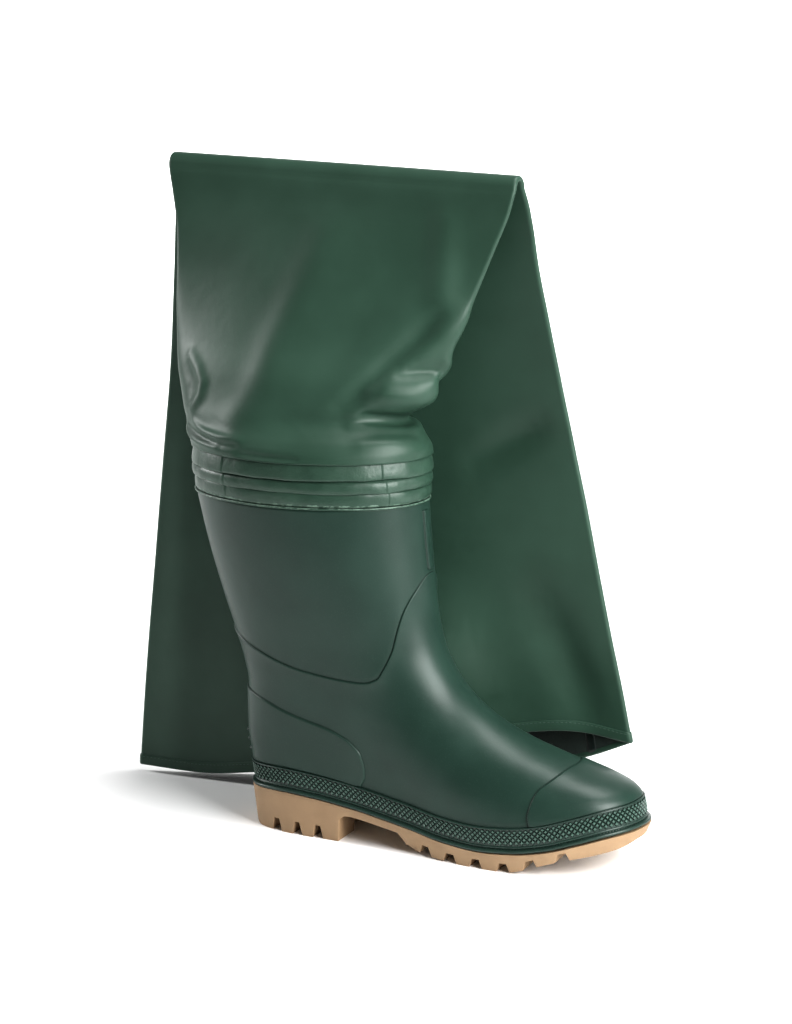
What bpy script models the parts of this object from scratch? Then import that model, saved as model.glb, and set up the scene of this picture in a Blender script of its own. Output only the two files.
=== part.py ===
"""Hip wader for the right foot: a moulded boot whose coated cloth thigh shaft is folded over behind it.

+X points to the toe, +Y to the inner side of the foot and +Z up. The origin is the middle of the rear heel lug's
tread. Sizes and tables are in millimetres, and along the foot they are measured from the back of the sole. Each
point is turned into metres in the row's own frame where a mesh is made.
"""

import math
from collections import namedtuple

import bmesh
import bpy
from mathutils import Vector

MM = 0.001
ORIGIN_FROM_HEEL = 20.0

SOLE_LENGTH = 301.0
GAP = 0.3
BOOT_WALL = 2.5
CLOTH_WALL = 0.8
SEAM_LIP = 0.8
COLLAR_HEIGHT = 247.0
AROUND_BOOT = 40

# The sole's outline: how far the middle swings inwards, and the fullness of each side.
SoleRow = namedtuple("SoleRow", "place swing outer inner")
SOLE_ROWS = (
    SoleRow(0.00, 0.0, 70.0, 70.0),
    SoleRow(0.03, 0.0, 66.0, 66.0),
    SoleRow(0.08, 0.0, 57.0, 57.0),
    SoleRow(0.15, 0.0, 49.0, 48.5),
    SoleRow(0.25, 0.0, 41.8, 39.8),
    SoleRow(0.35, 0.0, 38.9, 34.4),
    SoleRow(0.45, 0.0, 40.2, 34.6),
    SoleRow(0.55, 0.3, 45.3, 40.0),
    SoleRow(0.65, 1.0, 51.6, 46.6),
    SoleRow(0.75, 3.0, 59.0, 51.4),
    SoleRow(0.85, 5.0, 67.0, 55.5),
    SoleRow(0.92, 6.5, 73.0, 58.5),
    SoleRow(0.97, 7.5, 79.0, 64.0),
    SoleRow(1.00, 8.0, 82.0, 67.0),
)
BALL_OUTER = 50.0
BALL_INNER = 45.0

# Heights of the sole's top and of its tread, along the foot.
TopRow = namedtuple("TopRow", "place height")
SOLE_TOP = (
    TopRow(0.000, 29.6),
    TopRow(0.060, 30.4),
    TopRow(0.126, 31.0),
    TopRow(0.209, 29.6),
    TopRow(0.289, 26.9),
    TopRow(0.379, 22.9),
    TopRow(0.468, 18.6),
    TopRow(0.558, 14.2),
    TopRow(0.648, 12.4),
    TopRow(0.731, 13.8),
    TopRow(0.811, 17.7),
    TopRow(0.880, 23.4),
    TopRow(0.947, 28.6),
    TopRow(1.000, 31.0),
)
TreadRow = namedtuple("TreadRow", "along height")
TREAD = (
    TreadRow(0.0, 6.0),
    TreadRow(4.0, 2.6),
    TreadRow(8.0, 0.6),
    TreadRow(12.0, 0.0),
    TreadRow(84.0, 0.0),
    TreadRow(110.0, 8.0),
    TreadRow(135.0, 7.0),
    TreadRow(146.0, 3.4),
    TreadRow(158.0, 1.4),
    TreadRow(170.0, 0.4),
    TreadRow(180.0, 0.0),
    TreadRow(215.0, 0.0),
    TreadRow(227.0, 2.4),
    TreadRow(241.0, 7.2),
    TreadRow(260.0, 12.6),
    TreadRow(277.0, 16.0),
    TreadRow(292.0, 19.6),
    TreadRow(301.0, 24.0),
)
HEEL_BREAST = 81.0
WAIST_FRONT = 136.0

# The last of the boot, from the sole's edge (first row) to the collar (last row).
BootRow = namedtuple(
    "BootRow", "rise back_x back_z front_x front_z outer inner foot bow middle flat"
)
BOOT_ROWS = (
    BootRow(0, 3.9, 29.9, 297.1, 31.3, 46.0, 41.0, 1.00, 1.00, 0.35, 2.4),
    BootRow(1, 1.2, 47.4, 293.5, 48.8, 46.0, 41.0, 1.00, 1.00, 0.35, 2.4),
    BootRow(2, 0.2, 54.5, 288.5, 54.3, 45.6, 40.9, 0.96, 0.92, 0.35, 2.4),
    BootRow(3, -1.2, 61.5, 278.0, 59.4, 44.8, 40.8, 0.86, 0.74, 0.35, 2.4),
    BootRow(4, -2.2, 68.0, 262.0, 64.8, 43.4, 40.4, 0.70, 0.50, 0.35, 2.4),
    BootRow(5, -2.8, 75.0, 243.0, 71.0, 42.0, 40.0, 0.52, 0.30, 0.36, 2.4),
    BootRow(6, -3.0, 83.5, 219.5, 79.0, 41.0, 39.8, 0.36, 0.16, 0.37, 2.4),
    BootRow(7, -2.9, 94.5, 196.5, 89.5, 40.5, 39.8, 0.22, 0.08, 0.39, 2.4),
    BootRow(8, -3.6, 107.5, 176.0, 103.5, 40.8, 40.4, 0.12, 0.03, 0.42, 2.3),
    BootRow(9, -6.6, 122.0, 160.0, 120.5, 42.0, 41.8, 0.05, 0.00, 0.45, 2.3),
    BootRow(10, -12.6, 142.5, 148.0, 143.0, 45.0, 45.0, 0.00, 0.00, 0.47, 2.2),
    BootRow(11, -20.9, 167.5, 141.5, 170.0, 50.0, 50.0, 0.00, 0.00, 0.49, 2.1),
    BootRow(12, -28.0, 190.0, 138.6, 193.5, 54.1, 54.1, 0.00, 0.00, 0.50, 2.0),
    BootRow(13, -34.8, 215.5, 135.8, 217.5, 57.8, 57.8, 0.00, 0.00, 0.50, 2.0),
    BootRow(14, -41.8, COLLAR_HEIGHT, 133.2, COLLAR_HEIGHT, 61.3, 61.3, 0.00, 0.00, 0.50, 2.0),
)
LAST_RISE = BOOT_ROWS[-1].rise
FOXING_RISE = 1.0

# Where the foot's raised lip meets the shaft panel, from the back of the leg (turn 0) round to the shin (turn 0.5).
SeamRow = namedtuple("SeamRow", "turn rise")
PANEL_SEAM = (
    SeamRow(0.000, 10.3),
    SeamRow(0.080, 10.0),
    SeamRow(0.140, 9.7),
    SeamRow(0.220, 9.2),
    SeamRow(0.300, 9.0),
    SeamRow(0.325, 9.15),
    SeamRow(0.345, 9.5),
    SeamRow(0.370, 10.0),
    SeamRow(0.395, 10.65),
    SeamRow(0.420, 11.25),
    SeamRow(0.460, 11.8),
    SeamRow(0.500, 12.1),
)
COUNTER_SEAM = (
    SeamRow(0.000, 7.6),
    SeamRow(0.060, 7.5),
    SeamRow(0.120, 7.3),
    SeamRow(0.150, 6.95),
    SeamRow(0.180, 6.6),
    SeamRow(0.205, 6.3),
    SeamRow(0.215, 6.0),
    SeamRow(0.225, 5.4),
)
TOE_SEAM = (
    SeamRow(0.350, 1.9),
    SeamRow(0.362, 2.8),
    SeamRow(0.380, 3.5),
    SeamRow(0.400, 3.9),
    SeamRow(0.450, 4.55),
    SeamRow(0.500, 4.75),
)
# How far round the foot the counter's front edge comes at each rise.
EdgeRow = namedtuple("EdgeRow", "rise turn")
COUNTER_EDGE = (
    EdgeRow(1.0, 0.197),
    EdgeRow(2.5, 0.207),
    EdgeRow(4.0, 0.217),
    EdgeRow(5.4, 0.225),
    EdgeRow(8.0, 0.225),
)
PANEL_RINGS_BELOW = 12
PANEL_RINGS_ABOVE = 4
LIP_START = 0.85

# Tread notches: from and to along the foot at the tread, and depth.
Notch = namedtuple("Notch", "start end depth")
NOTCHES = (
    Notch(26.5, 35.0, 7.0),
    Notch(44.5, 52.5, 7.0),
    Notch(61.0, 69.5, 7.0),
    Notch(148.0, 157.5, 4.6),
    Notch(167.5, 178.0, 4.6),
    Notch(188.0, 198.0, 4.6),
    Notch(209.0, 218.5, 4.6),
    Notch(228.0, 238.0, 4.6),
    Notch(250.0, 260.0, 4.6),
)
NOTCH_DRAFT = 2.2
SOLE_DRAFT = 2.4
CHANNEL_HALF_WIDTH = 4.0

FOXING_HEIGHT = 17.5
FOXING_WALL = 2.0
LIP_REACH = 3.9

OVERLAY_WALL = 0.9
OVERLAY_LOW = 1.03
OVERLAY_GAP = 0.5
SPUR_RISES = (1.9, 2.9, 3.9)
SPUR_HALF_TURN = 0.032
SPUR_HALF_RISE = 0.28
SPUR_REACH = 2.0
SHIN_HALF_TURN = 0.009
SHIN_RIB = 1.0

# The thigh shaft, from its gathered hem over the pleats, up, over the fold and down to the mouth.
ShaftRow = namedtuple(
    "ShaftRow", "along y z rear front outer inner round rear_lean front_lean tilt"
)
FOLD_Y = 36.0
FOLD_Z = 467.0
FOLD_RADIUS = 7.4
FOLD_HALF = 2.4
SHAFT_ROWS = (
    ShaftRow(0.0, 0.0, 278.0, -45.0, 136.0, 64.0, 64.0, 1.0, 0, 0, 0.0),
    ShaftRow(0.5, 0.0, 283.0, -46.6, 135.6, 63.0, 61.8, 1.0, 0, 0, 0.0),
    ShaftRow(1.0, 0.0, 290.0, -49.0, 132.0, 59.2, 55.6, 1.0, 0, 0, 0.0),
    ShaftRow(1.7, 0.5, 299.0, -51.2, 126.5, 55.0, 50.0, 0.95, 0, 0, 0.0),
    ShaftRow(2.2, 1.0, 308.5, -54.0, 119.5, 51.0, 45.0, 0.92, 0, 0, 0.0),
    ShaftRow(2.8, 1.5, 318.5, -57.0, 135.0, 47.0, 40.0, 0.88, 0, 0, 0.0),
    ShaftRow(3.4, 2.0, 330.0, -60.5, 144.0, 43.0, 35.0, 0.8, 0, 0, 0.0),
    ShaftRow(4.4, 6.5, 352.0, -64.5, 151.0, 35.0, 27.5, 0.65, 0, 0, 0.0),
    ShaftRow(5.4, 11.0, 376.0, -67.5, 160.0, 26.5, 20.5, 0.5, 0, 0, 0.1),
    ShaftRow(6.4, 16.0, 400.0, -69.5, 168.5, 19.0, 14.5, 0.35, 0, 0, 0.25),
    ShaftRow(7.4, 21.0, 425.0, -72.0, 177.0, 12.0, 9.0, 0.2, 0, 0, 0.45),
    ShaftRow(8.4, 25.5, 449.0, -77.5, 185.0, 5.5, 4.6, 0.05, 0, 0, 0.8),
    ShaftRow(9.0, FOLD_Y - FOLD_RADIUS, FOLD_Z, -82.0, 189.0, FOLD_HALF, FOLD_HALF, 0.0, 0, 0, 1.0),
    ShaftRow(10.0, FOLD_Y, FOLD_Z, -83.0, 189.0, FOLD_HALF, FOLD_HALF, 0.0, 0, 0, 1.0),
    ShaftRow(10.6, 48.5, 446.0, -87.5, 192.0, 5.0, 3.6, 0.0, -1, 1, 0.9),
    ShaftRow(11.5, 56.5, 412.0, -92.0, 194.0, 10.0, 5.0, 0.0, -3, 2, 0.7),
    ShaftRow(12.5, 65.0, 368.0, -98.0, 199.5, 15.0, 6.0, 0.0, -5, 3, 0.5),
    ShaftRow(13.5, 71.5, 322.0, -103.5, 206.5, 20.0, 7.0, 0.0, -7, 4, 0.3),
    ShaftRow(14.5, 75.0, 276.0, -109.0, 214.5, 24.0, 7.5, 0.0, -9, 6, 0.2),
    ShaftRow(15.5, 75.5, 228.0, -114.0, 224.0, 28.0, 8.0, 0.0, -11, 8, 0.1),
    ShaftRow(16.5, 75.5, 178.0, -119.0, 233.0, 31.0, 8.5, 0.0, -13, 10, 0.0),
    ShaftRow(17.5, 75.0, 128.0, -124.0, 242.5, 33.5, 9.5, 0.0, -15, 12, 0.0),
    ShaftRow(18.5, 74.5, 82.0, -128.0, 251.5, 36.0, 11.0, 0.0, -17, 14, 0.0),
    ShaftRow(19.5, 74.0, 40.0, -131.0, 259.0, 38.0, 12.0, 0.0, -19, 15, 0.0),
)
FOLD_START = 9.0
FOLD_END = 10.0
MOUTH_ALONG = 19.5
TIP_ARC = 12.0
TIP_RADIUS = 2.2
# The fold line is a little higher over the heel than over the toe.
FOLD_TILT = 4.0

# The mouth's edge height on the outer layer and on the inner one, from the rear corner to the front corner.
MouthRow = namedtuple("MouthRow", "place outer inner")
MOUTH = (
    MouthRow(0.00, 6.0, 6.0),
    MouthRow(0.12, 4.5, 5.0),
    MouthRow(0.25, 6.5, 11.0),
    MouthRow(0.50, 17.0, 34.0),
    MouthRow(0.75, 31.0, 60.0),
    MouthRow(0.88, 42.0, 67.0),
    MouthRow(1.00, 62.0, 62.0),
)
SLANT_START = 12.5
HEM_HEIGHT = 10.0
HEM_WALL = 0.8

# The gathered cuff between boot and shaft: height over the collar, and reach from the collar's outside.
CuffRow = namedtuple("CuffRow", "height reach")
CUFF_ROWS = (
    CuffRow(-14.0, -3.3),
    CuffRow(-0.2, -3.1),
    CuffRow(1.2, -2.6),
    CuffRow(2.4, -0.3),
    CuffRow(9.3, 0.3),
    CuffRow(11.0, -2.0),
    CuffRow(12.7, 0.2),
    CuffRow(17.9, 0.7),
    CuffRow(19.5, -1.7),
    CuffRow(21.1, 0.6),
    CuffRow(29.0, 1.2),
    CuffRow(31.2, 1.0),
    CuffRow(35.5, -1.7),
)

Finish = namedtuple("Finish", "name colour roughness")
SOLE_FINISH = Finish("tan_sole", (0.62, 0.43, 0.25), 0.6)
BOOT_FINISH = Finish("green_boot", (0.045, 0.095, 0.07), 0.45)
BAND_FINISH = Finish("dark_band", (0.02, 0.05, 0.038), 0.35)
CLOTH_FINISH = Finish("green_cloth", (0.055, 0.115, 0.08), 0.5)
INSOLE_FINISH = Finish("grey_insole", (0.25, 0.25, 0.23), 0.9)


def clear_scene():
    for obj in list(bpy.data.objects):
        bpy.data.objects.remove(obj)


def curve(rows, column, at):
    """The value of one column at a place along its table, smooth and without overshoot."""
    last = len(rows) - 1
    at = min(max(at, rows[0][0]), rows[last][0])
    low = 0
    while low < last - 1 and at > rows[low + 1][0]:
        low += 1

    def slope(index):
        if index == 0 or index == last:
            near, far = (0, 1) if index == 0 else (last - 1, last)
            rise = getattr(rows[far], column) - getattr(rows[near], column)
            return rise / (rows[far][0] - rows[near][0])
        before = rows[index][0] - rows[index - 1][0]
        after = rows[index + 1][0] - rows[index][0]
        value = getattr(rows[index], column)
        left = (value - getattr(rows[index - 1], column)) / before
        right = (getattr(rows[index + 1], column) - value) / after
        if left * right <= 0:
            return 0.0
        near_left = (2 * before + after) / (3 * left)
        near_right = (before + 2 * after) / (3 * right)
        return (before + after) / (near_left + near_right)

    width = rows[low + 1][0] - rows[low][0]
    t = (at - rows[low][0]) / width
    start, end = getattr(rows[low], column), getattr(rows[low + 1], column)
    return (
        start * (1 + 2 * t) * (1 - t) ** 2
        + slope(low) * width * t * (1 - t) ** 2
        + end * t * t * (3 - 2 * t)
        + slope(low + 1) * width * t * t * (t - 1)
    )


def place_of(turn):
    """How far along the foot a turn lies, from 0 at the back to 1 at the front."""
    return (1 - math.cos(2 * math.pi * turn)) / 2


def on_outer_side(turn):
    return turn % 1.0 < 0.5


def sole_half(turn):
    """How far the sole's outline lies from its axis, outer side negative."""
    place = place_of(turn)
    arc = abs(math.sin(2 * math.pi * turn))
    swing = curve(SOLE_ROWS, "swing", place)
    if on_outer_side(turn):
        return swing - curve(SOLE_ROWS, "outer", place) * arc
    return swing + curve(SOLE_ROWS, "inner", place) * arc


def sole_dip(place):
    """How far the sole's top sags under the straight line between its ends."""
    ends = SOLE_TOP[0].height + (SOLE_TOP[-1].height - SOLE_TOP[0].height) * place
    return curve(SOLE_TOP, "height", place) - ends


BOOT_CACHE = {}


def boot_section(rise):
    key = round(rise, 4)
    if key not in BOOT_CACHE:
        values = {name: curve(BOOT_ROWS, name, rise) for name in BootRow._fields[1:]}
        BOOT_CACHE[key] = BootRow(rise, **values)
    return BOOT_CACHE[key]


def boot_skin(turn, rise):
    """A point of the boot's outer surface: turn goes round the foot, rise from sole to collar."""
    row = boot_section(rise)
    place = place_of(turn)
    arc = abs(math.sin(2 * math.pi * turn))
    reach = row.middle if place < row.middle else 1 - row.middle
    egg = math.sqrt(max(0.0, 1 - (abs(place - row.middle) / reach) ** row.flat))
    if on_outer_side(turn):
        foot = curve(SOLE_ROWS, "outer", place) * arc / BALL_OUTER
        half = -row.outer * (row.foot * foot + (1 - row.foot) * egg)
    else:
        foot = curve(SOLE_ROWS, "inner", place) * arc / BALL_INNER
        half = row.inner * (row.foot * foot + (1 - row.foot) * egg)
    x = row.back_x + (row.front_x - row.back_x) * place
    y = half + row.foot * curve(SOLE_ROWS, "swing", place)
    z = row.back_z + (row.front_z - row.back_z) * place + row.bow * sole_dip(place)
    return Vector((x, y, z))


def pushed_out(skin, turn, along, out, span):
    """A surface's point moved out along its own normal."""
    point = skin(turn, along)
    if not out:
        return point
    step = 0.004
    low, high = max(span[0], along - 0.02), min(span[1], along + 0.02)
    across = skin(turn + step, along) - skin(turn - step, along)
    up = skin(turn, high) - skin(turn, low)
    return point + across.cross(up).normalized() * out


def boot_point(turn, rise, out=0.0):
    return pushed_out(boot_skin, turn, rise, out, (0.0, float(LAST_RISE)))


def seam_rise(seam, turn):
    """The rise of a seam, which is the same on both sides of the leg."""
    near = turn % 1.0
    return curve(seam, "rise", min(near, 1.0 - near))


def ellipse_and_flat(angle, row, outer):
    """(along the foot, depth) of a shaft section that is round, flat or in between."""
    depth = row.outer if outer else row.inner
    width = row.front - row.rear
    near_end = min(angle, 180.0 - angle)
    round_x = width * (1 - math.cos(math.radians(angle))) / 2
    round_d = depth * math.sin(math.radians(angle))
    if near_end <= TIP_ARC:
        tip = math.radians(near_end / TIP_ARC * 90.0)
        flat_x = TIP_RADIUS * (1 - math.cos(tip))
        flat_d = TIP_RADIUS * math.sin(tip)
        if angle > 90.0:
            flat_x = width - flat_x
    else:
        edge = math.cos(math.radians(TIP_ARC))
        share = (edge - math.cos(math.radians(angle))) / (2 * edge)
        flat_x = TIP_RADIUS + (width - 2 * TIP_RADIUS) * share
        flat_d = TIP_RADIUS + (depth - TIP_RADIUS) * math.sin(math.pi * share) ** 1.5
    x = row.round * round_x + (1 - row.round) * flat_x
    d = row.round * round_d + (1 - row.round) * flat_d
    return row.rear + x, d


def shaft_skin(turn, along):
    """A point of the thigh shaft's outer surface: turn goes round the leg, along from hem to mouth."""
    row = ShaftRow(along, *(curve(SHAFT_ROWS, name, along) for name in ShaftRow._fields[1:]))
    turn %= 1.0
    outer = turn < 0.5
    angle = 360.0 * (turn if outer else 1.0 - turn)
    x, depth = ellipse_and_flat(angle, row, outer)
    share = (x - row.rear) / (row.front - row.rear)
    if not outer:
        depth = -depth
    fold = math.radians(180.0 * min(max(along - FOLD_START, 0.0), 1.0))
    y, z = row.y, row.z
    if FOLD_START <= along <= FOLD_END:
        y = FOLD_Y - FOLD_RADIUS * math.cos(fold)
        z = FOLD_Z + FOLD_RADIUS * math.sin(fold)
    elif along > FOLD_END:
        y += FOLD_RADIUS * max(0.0, 1 - (along - FOLD_END) / 0.6)
    y += row.rear_lean * (1 - share) ** 2 + row.front_lean * share**2
    y -= depth * math.cos(fold)
    z += depth * math.sin(fold) + row.tilt * FOLD_TILT * (1 - 2 * share)
    if along > SLANT_START:
        gone = (along - SLANT_START) / (MOUTH_ALONG - SLANT_START)
        edge = curve(MOUTH, "outer" if outer else "inner", share)
        z += (edge - SHAFT_ROWS[-1].z) * gone * gone
    return Vector((x, y, z))


def shaft_point(turn, along, out=0.0):
    return pushed_out(shaft_skin, turn, along, out, (0.0, MOUTH_ALONG))


def collar_ring(turn, height, reach):
    """A point on an oval round the leg, at a height over the collar and a reach from its outside."""
    row = BOOT_ROWS[-1]
    middle = (row.back_x + row.front_x) / 2
    half = (row.front_x - row.back_x) / 2 + reach
    angle = 2 * math.pi * turn
    x = middle - half * math.cos(angle)
    y = -(row.outer + reach) * math.sin(angle)
    return Vector((x, y, COLLAR_HEIGHT + height))


def even(start, end, count):
    return [start + (end - start) * i / count for i in range(count + 1)]


def material(finish):
    made = bpy.data.materials.get(finish.name) or bpy.data.materials.new(finish.name)
    made.use_nodes = True
    shader = made.node_tree.nodes["Principled BSDF"]
    shader.inputs["Base Color"].default_value = (*finish.colour, 1.0)
    shader.inputs["Roughness"].default_value = finish.roughness
    shader.inputs["Metallic"].default_value = 0.0
    return made


def to_object(name, bm, finish):
    """Puts a mesh drawn in millimetres from the heel into the row's frame, in metres."""
    for vert in bm.verts:
        vert.co = (vert.co - Vector((ORIGIN_FROM_HEEL, 0, 0))) * MM
    mesh = bpy.data.meshes.new(name)
    bm.to_mesh(mesh)
    bm.free()
    mesh.shade_smooth()
    mesh.set_sharp_from_angle(angle=math.radians(40))
    obj = bpy.data.objects.new(name, mesh)
    obj.data.materials.append(material(finish))
    bpy.context.scene.collection.objects.link(obj)
    return obj


def draped_grid(point, turns, alongs, round_leg=False, round_profile=False):
    """A grid laid on a surface, closed round the leg or round a profile where asked."""
    bm = bmesh.new()
    columns, rows = len(turns) - 1, len(alongs) - 1
    bmesh.ops.create_grid(bm, x_segments=columns, y_segments=rows, size=1.0)
    for vert in bm.verts:
        column = round((vert.co.x + 1) / 2 * columns)
        row = round((vert.co.y + 1) / 2 * rows)
        if round_leg and column == columns:
            column = 0
        if round_profile and row == rows:
            row = 0
        vert.co = point(turns[column], alongs[row])
    if round_leg or round_profile:
        bmesh.ops.remove_doubles(bm, verts=bm.verts, dist=1e-4)
    return bm


def thicken(obj, wall, outwards):
    wall_modifier = obj.modifiers.new("wall", "SOLIDIFY")
    wall_modifier.thickness = wall * MM
    wall_modifier.offset = 1.0 if outwards else -1.0
    wall_modifier.use_even_offset = True


def boot_turns():
    return even(0.0, 1.0, AROUND_BOOT)


def boot_upper():
    """The moulded foot and leg, where the foot's edge swells to a lip that stands a step over the shaft panel."""
    rings = [("below", i / PANEL_RINGS_BELOW) for i in range(PANEL_RINGS_BELOW + 1)]
    rings += [("above", i / PANEL_RINGS_ABOVE) for i in range(PANEL_RINGS_ABOVE + 1)]

    def point(turn, ring):
        part, share = ring
        edge = seam_rise(PANEL_SEAM, turn)
        if part == "below":
            swell = max(0.0, share - LIP_START) / (1 - LIP_START)
            return boot_point(turn, edge * share, SEAM_LIP * swell)
        return boot_point(turn, edge + (LAST_RISE - edge) * share, 0.0)

    obj = to_object("boot_upper", draped_grid(point, boot_turns(), rings, round_leg=True), BOOT_FINISH)
    thicken(obj, BOOT_WALL, outwards=False)


def swept_band(name, profile, place, finish):
    """A closed band round the boot, with a profile given bottom to top outside, then back down inside."""
    loop = list(profile) + [profile[0]]

    def point(turn, step):
        return place(turn, *step)

    bm = draped_grid(point, boot_turns(), loop, round_leg=True, round_profile=True)
    bmesh.ops.recalc_face_normals(bm, faces=bm.faces)
    return to_object(name, bm, finish)


def sole_edge_point(turn, height, out):
    """A point by the boot's lower edge: a height over the sole's top, and out from the upper's wall."""
    return boot_point(turn, FOXING_RISE * height / (FOXING_HEIGHT + GAP), out)


def foxing_band():
    """The band round the boot over the sole, with its thin lip at the foot."""
    top = FOXING_HEIGHT
    profile = (
        (GAP, LIP_REACH),
        (2.4, LIP_REACH),
        (3.0, FOXING_WALL - 0.5),
        (4.2, FOXING_WALL + 0.1),
        (top - 2.0, FOXING_WALL),
        (top - 1.2, FOXING_WALL + 0.4),
        (top, FOXING_WALL - 0.2),
        (top, GAP),
        (GAP, GAP),
    )
    swept_band("foxing_band", profile, sole_edge_point, BAND_FINISH)


def collar_bead():
    """The rolled edge round the outside of the boot's collar."""
    profile = ((-3.2, 0.4), (-2.2, 1.6), (-0.4, 1.6), (0.4, 0.4))
    swept_band("collar_bead", profile, collar_ring, BOOT_FINISH)


def stations_between(start, end):
    """The boot's own stations between two turns, and those two turns."""
    inside = [i / AROUND_BOOT for i in range(-AROUND_BOOT, AROUND_BOOT + 1)]
    return [start] + [turn for turn in inside if start + 0.004 < turn < end - 0.004] + [end]


def overlay(name, turns, seam, steps, edge=None):
    """A thin panel on the boot, from the foxing up to its seam and out to its front edge."""
    def point(turn, share):
        high = seam_rise(seam, turn)
        rise = OVERLAY_LOW + (high - OVERLAY_LOW) * share
        if edge:
            turn *= curve(edge, "turn", rise) / edge[-1].turn
        return boot_point(turn, rise, OVERLAY_GAP + OVERLAY_WALL)

    obj = to_object(name, draped_grid(point, turns, even(0.0, 1.0, steps)), BOOT_FINISH)
    thicken(obj, OVERLAY_WALL, outwards=False)


def toe_cap():
    start = TOE_SEAM[0].turn
    overlay("toe_cap", stations_between(start, 1.0 - start), TOE_SEAM, steps=7)


def heel_counter():
    end = COUNTER_SEAM[-1].turn
    overlay("heel_counter", stations_between(-end, end), COUNTER_SEAM, steps=8, edge=COUNTER_EDGE)


def heel_spur_ribs():
    base = OVERLAY_GAP + OVERLAY_WALL + GAP
    for number, rise in enumerate(SPUR_RISES, start=1):
        profile = (
            (rise - SPUR_HALF_RISE, base),
            (rise - SPUR_HALF_RISE, base + 0.4),
            (rise, base + SPUR_REACH),
            (rise + SPUR_HALF_RISE, base + 0.4),
            (rise + SPUR_HALF_RISE, base),
        )

        def point(turn, step):
            return boot_point(turn, *step)

        turns = stations_between(-SPUR_HALF_TURN, SPUR_HALF_TURN)
        bm = draped_grid(point, turns, profile + profile[:1], round_profile=True)
        close_ends(bm)
        to_object(f"heel_spur_rib_{number}", bm, BOOT_FINISH)


def close_ends(bm):
    bmesh.ops.holes_fill(bm, edges=[edge for edge in bm.edges if edge.is_boundary], sides=0)
    bmesh.ops.recalc_face_normals(bm, faces=bm.faces)


def shin_rib():
    """The raised strip down the middle of the shin, on the shaft panel."""
    low = PANEL_SEAM[-1].rise + 0.15
    high = LAST_RISE - 0.25

    def point(turn, rise):
        return boot_point(turn, rise, GAP + SHIN_RIB)

    turns = even(0.5 - SHIN_HALF_TURN, 0.5 + SHIN_HALF_TURN, 2)
    obj = to_object("shin_rib", draped_grid(point, turns, even(low, high, 6)), BOOT_FINISH)
    thicken(obj, SHIN_RIB, outwards=False)


def on_tread(along):
    return curve(TREAD, "height", along)


def outsole_body():
    """The sole's block, lofted from cross sections from heel to toe."""
    stations = even(0.0, 0.5, 40)

    def corner(turn, spot):
        side, level = spot
        place = place_of(turn)
        along = SOLE_LENGTH * place
        other = turn if side == "outer" else 1.0 - turn
        top = curve(SOLE_TOP, "height", place)
        foot = on_tread(along)
        height = foot + (top - foot) * level
        inset = SOLE_DRAFT * (1 - level)
        half = sole_half(max(min(other, 0.9975), 0.0025))
        squeeze = (SOLE_LENGTH / 2 - inset) / (SOLE_LENGTH / 2)
        x = SOLE_LENGTH / 2 + (along - SOLE_LENGTH / 2) * squeeze
        y = half - math.copysign(min(inset, abs(half) * 0.5), half)
        return Vector((x, y, height))

    loop = [("outer", 0.0), ("outer", 0.5), ("outer", 1.0), ("inner", 1.0), ("inner", 0.5), ("inner", 0.0)]
    loop.append(loop[0])
    bm = draped_grid(corner, stations, loop, round_profile=True)
    close_ends(bm)
    return to_object("outsole", bm, SOLE_FINISH)


def add_prism(bm, outline, half_width, middle=0.0):
    """A bar across the foot whose side view is an outline of (along, height) corners."""
    low = [bm.verts.new((x, middle - half_width, z)) for x, z in outline]
    face = bm.faces.new(low)
    pushed = bmesh.ops.extrude_face_region(bm, geom=[face])
    for item in pushed["geom"]:
        if isinstance(item, bmesh.types.BMVert):
            item.co.y = middle + half_width


def tread_cutter():
    """Everything that is cut out of the sole's tread, as one helper object."""
    below, full = -6.0, 80.0
    bm = bmesh.new()
    waist = [(HEEL_BREAST, below), (HEEL_BREAST + 2.0, 17.0), (HEEL_BREAST + 6.0, 20.0)]
    waist += [(along, curve(SOLE_TOP, "height", along / SOLE_LENGTH) - 6.0) for along in even(93.0, 130.0, 4)]
    waist += [(WAIST_FRONT, on_tread(WAIST_FRONT) + 0.8), (WAIST_FRONT + 2.0, below)]
    add_prism(bm, waist, full)
    for notch in NOTCHES:
        middle = (notch.start + notch.end) / 2
        roof = on_tread(middle) + notch.depth
        slope = (on_tread(notch.end) - on_tread(notch.start)) * 0.5
        spread = NOTCH_DRAFT * (notch.depth + 6.0) / notch.depth
        outline = (
            (notch.start - spread + NOTCH_DRAFT, roof - notch.depth - 6.0 - slope),
            (notch.end + spread - NOTCH_DRAFT, roof - notch.depth - 6.0 + slope),
            (notch.end - NOTCH_DRAFT, roof + slope * 0.5),
            (notch.start + NOTCH_DRAFT, roof - slope * 0.5),
        )
        add_prism(bm, outline, full)
    bmesh.ops.recalc_face_normals(bm, faces=bm.faces)
    return helper("tread_cutter", bm)


def helper(name, bm):
    obj = to_object(name, bm, SOLE_FINISH)
    obj.hide_render = True
    obj.display_type = "WIRE"
    return obj


def channel_cutter():
    """The channel along the middle of the lugs, and the round bay in the heel's breast."""
    below = -6.0
    bm = bmesh.new()
    heel = [(40.0, below), (HEEL_BREAST + 1.0, below), (HEEL_BREAST + 1.0, 6.6), (40.0, 6.6)]
    add_prism(bm, heel, CHANNEL_HALF_WIDTH)
    for lug_start, lug_end in ((157.0, 168.5), (177.5, 189.0), (197.5, 210.0), (218.0, 229.0), (237.5, 251.0)):
        roof = on_tread((lug_start + lug_end) / 2) + 4.2
        outline = [(lug_start, below), (lug_end, below), (lug_end, roof), (lug_start, roof)]
        add_prism(bm, outline, CHANNEL_HALF_WIDTH, middle=1.0)
    bmesh.ops.recalc_face_normals(bm, faces=bm.faces)
    return helper("channel_cutter", bm)


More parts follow.
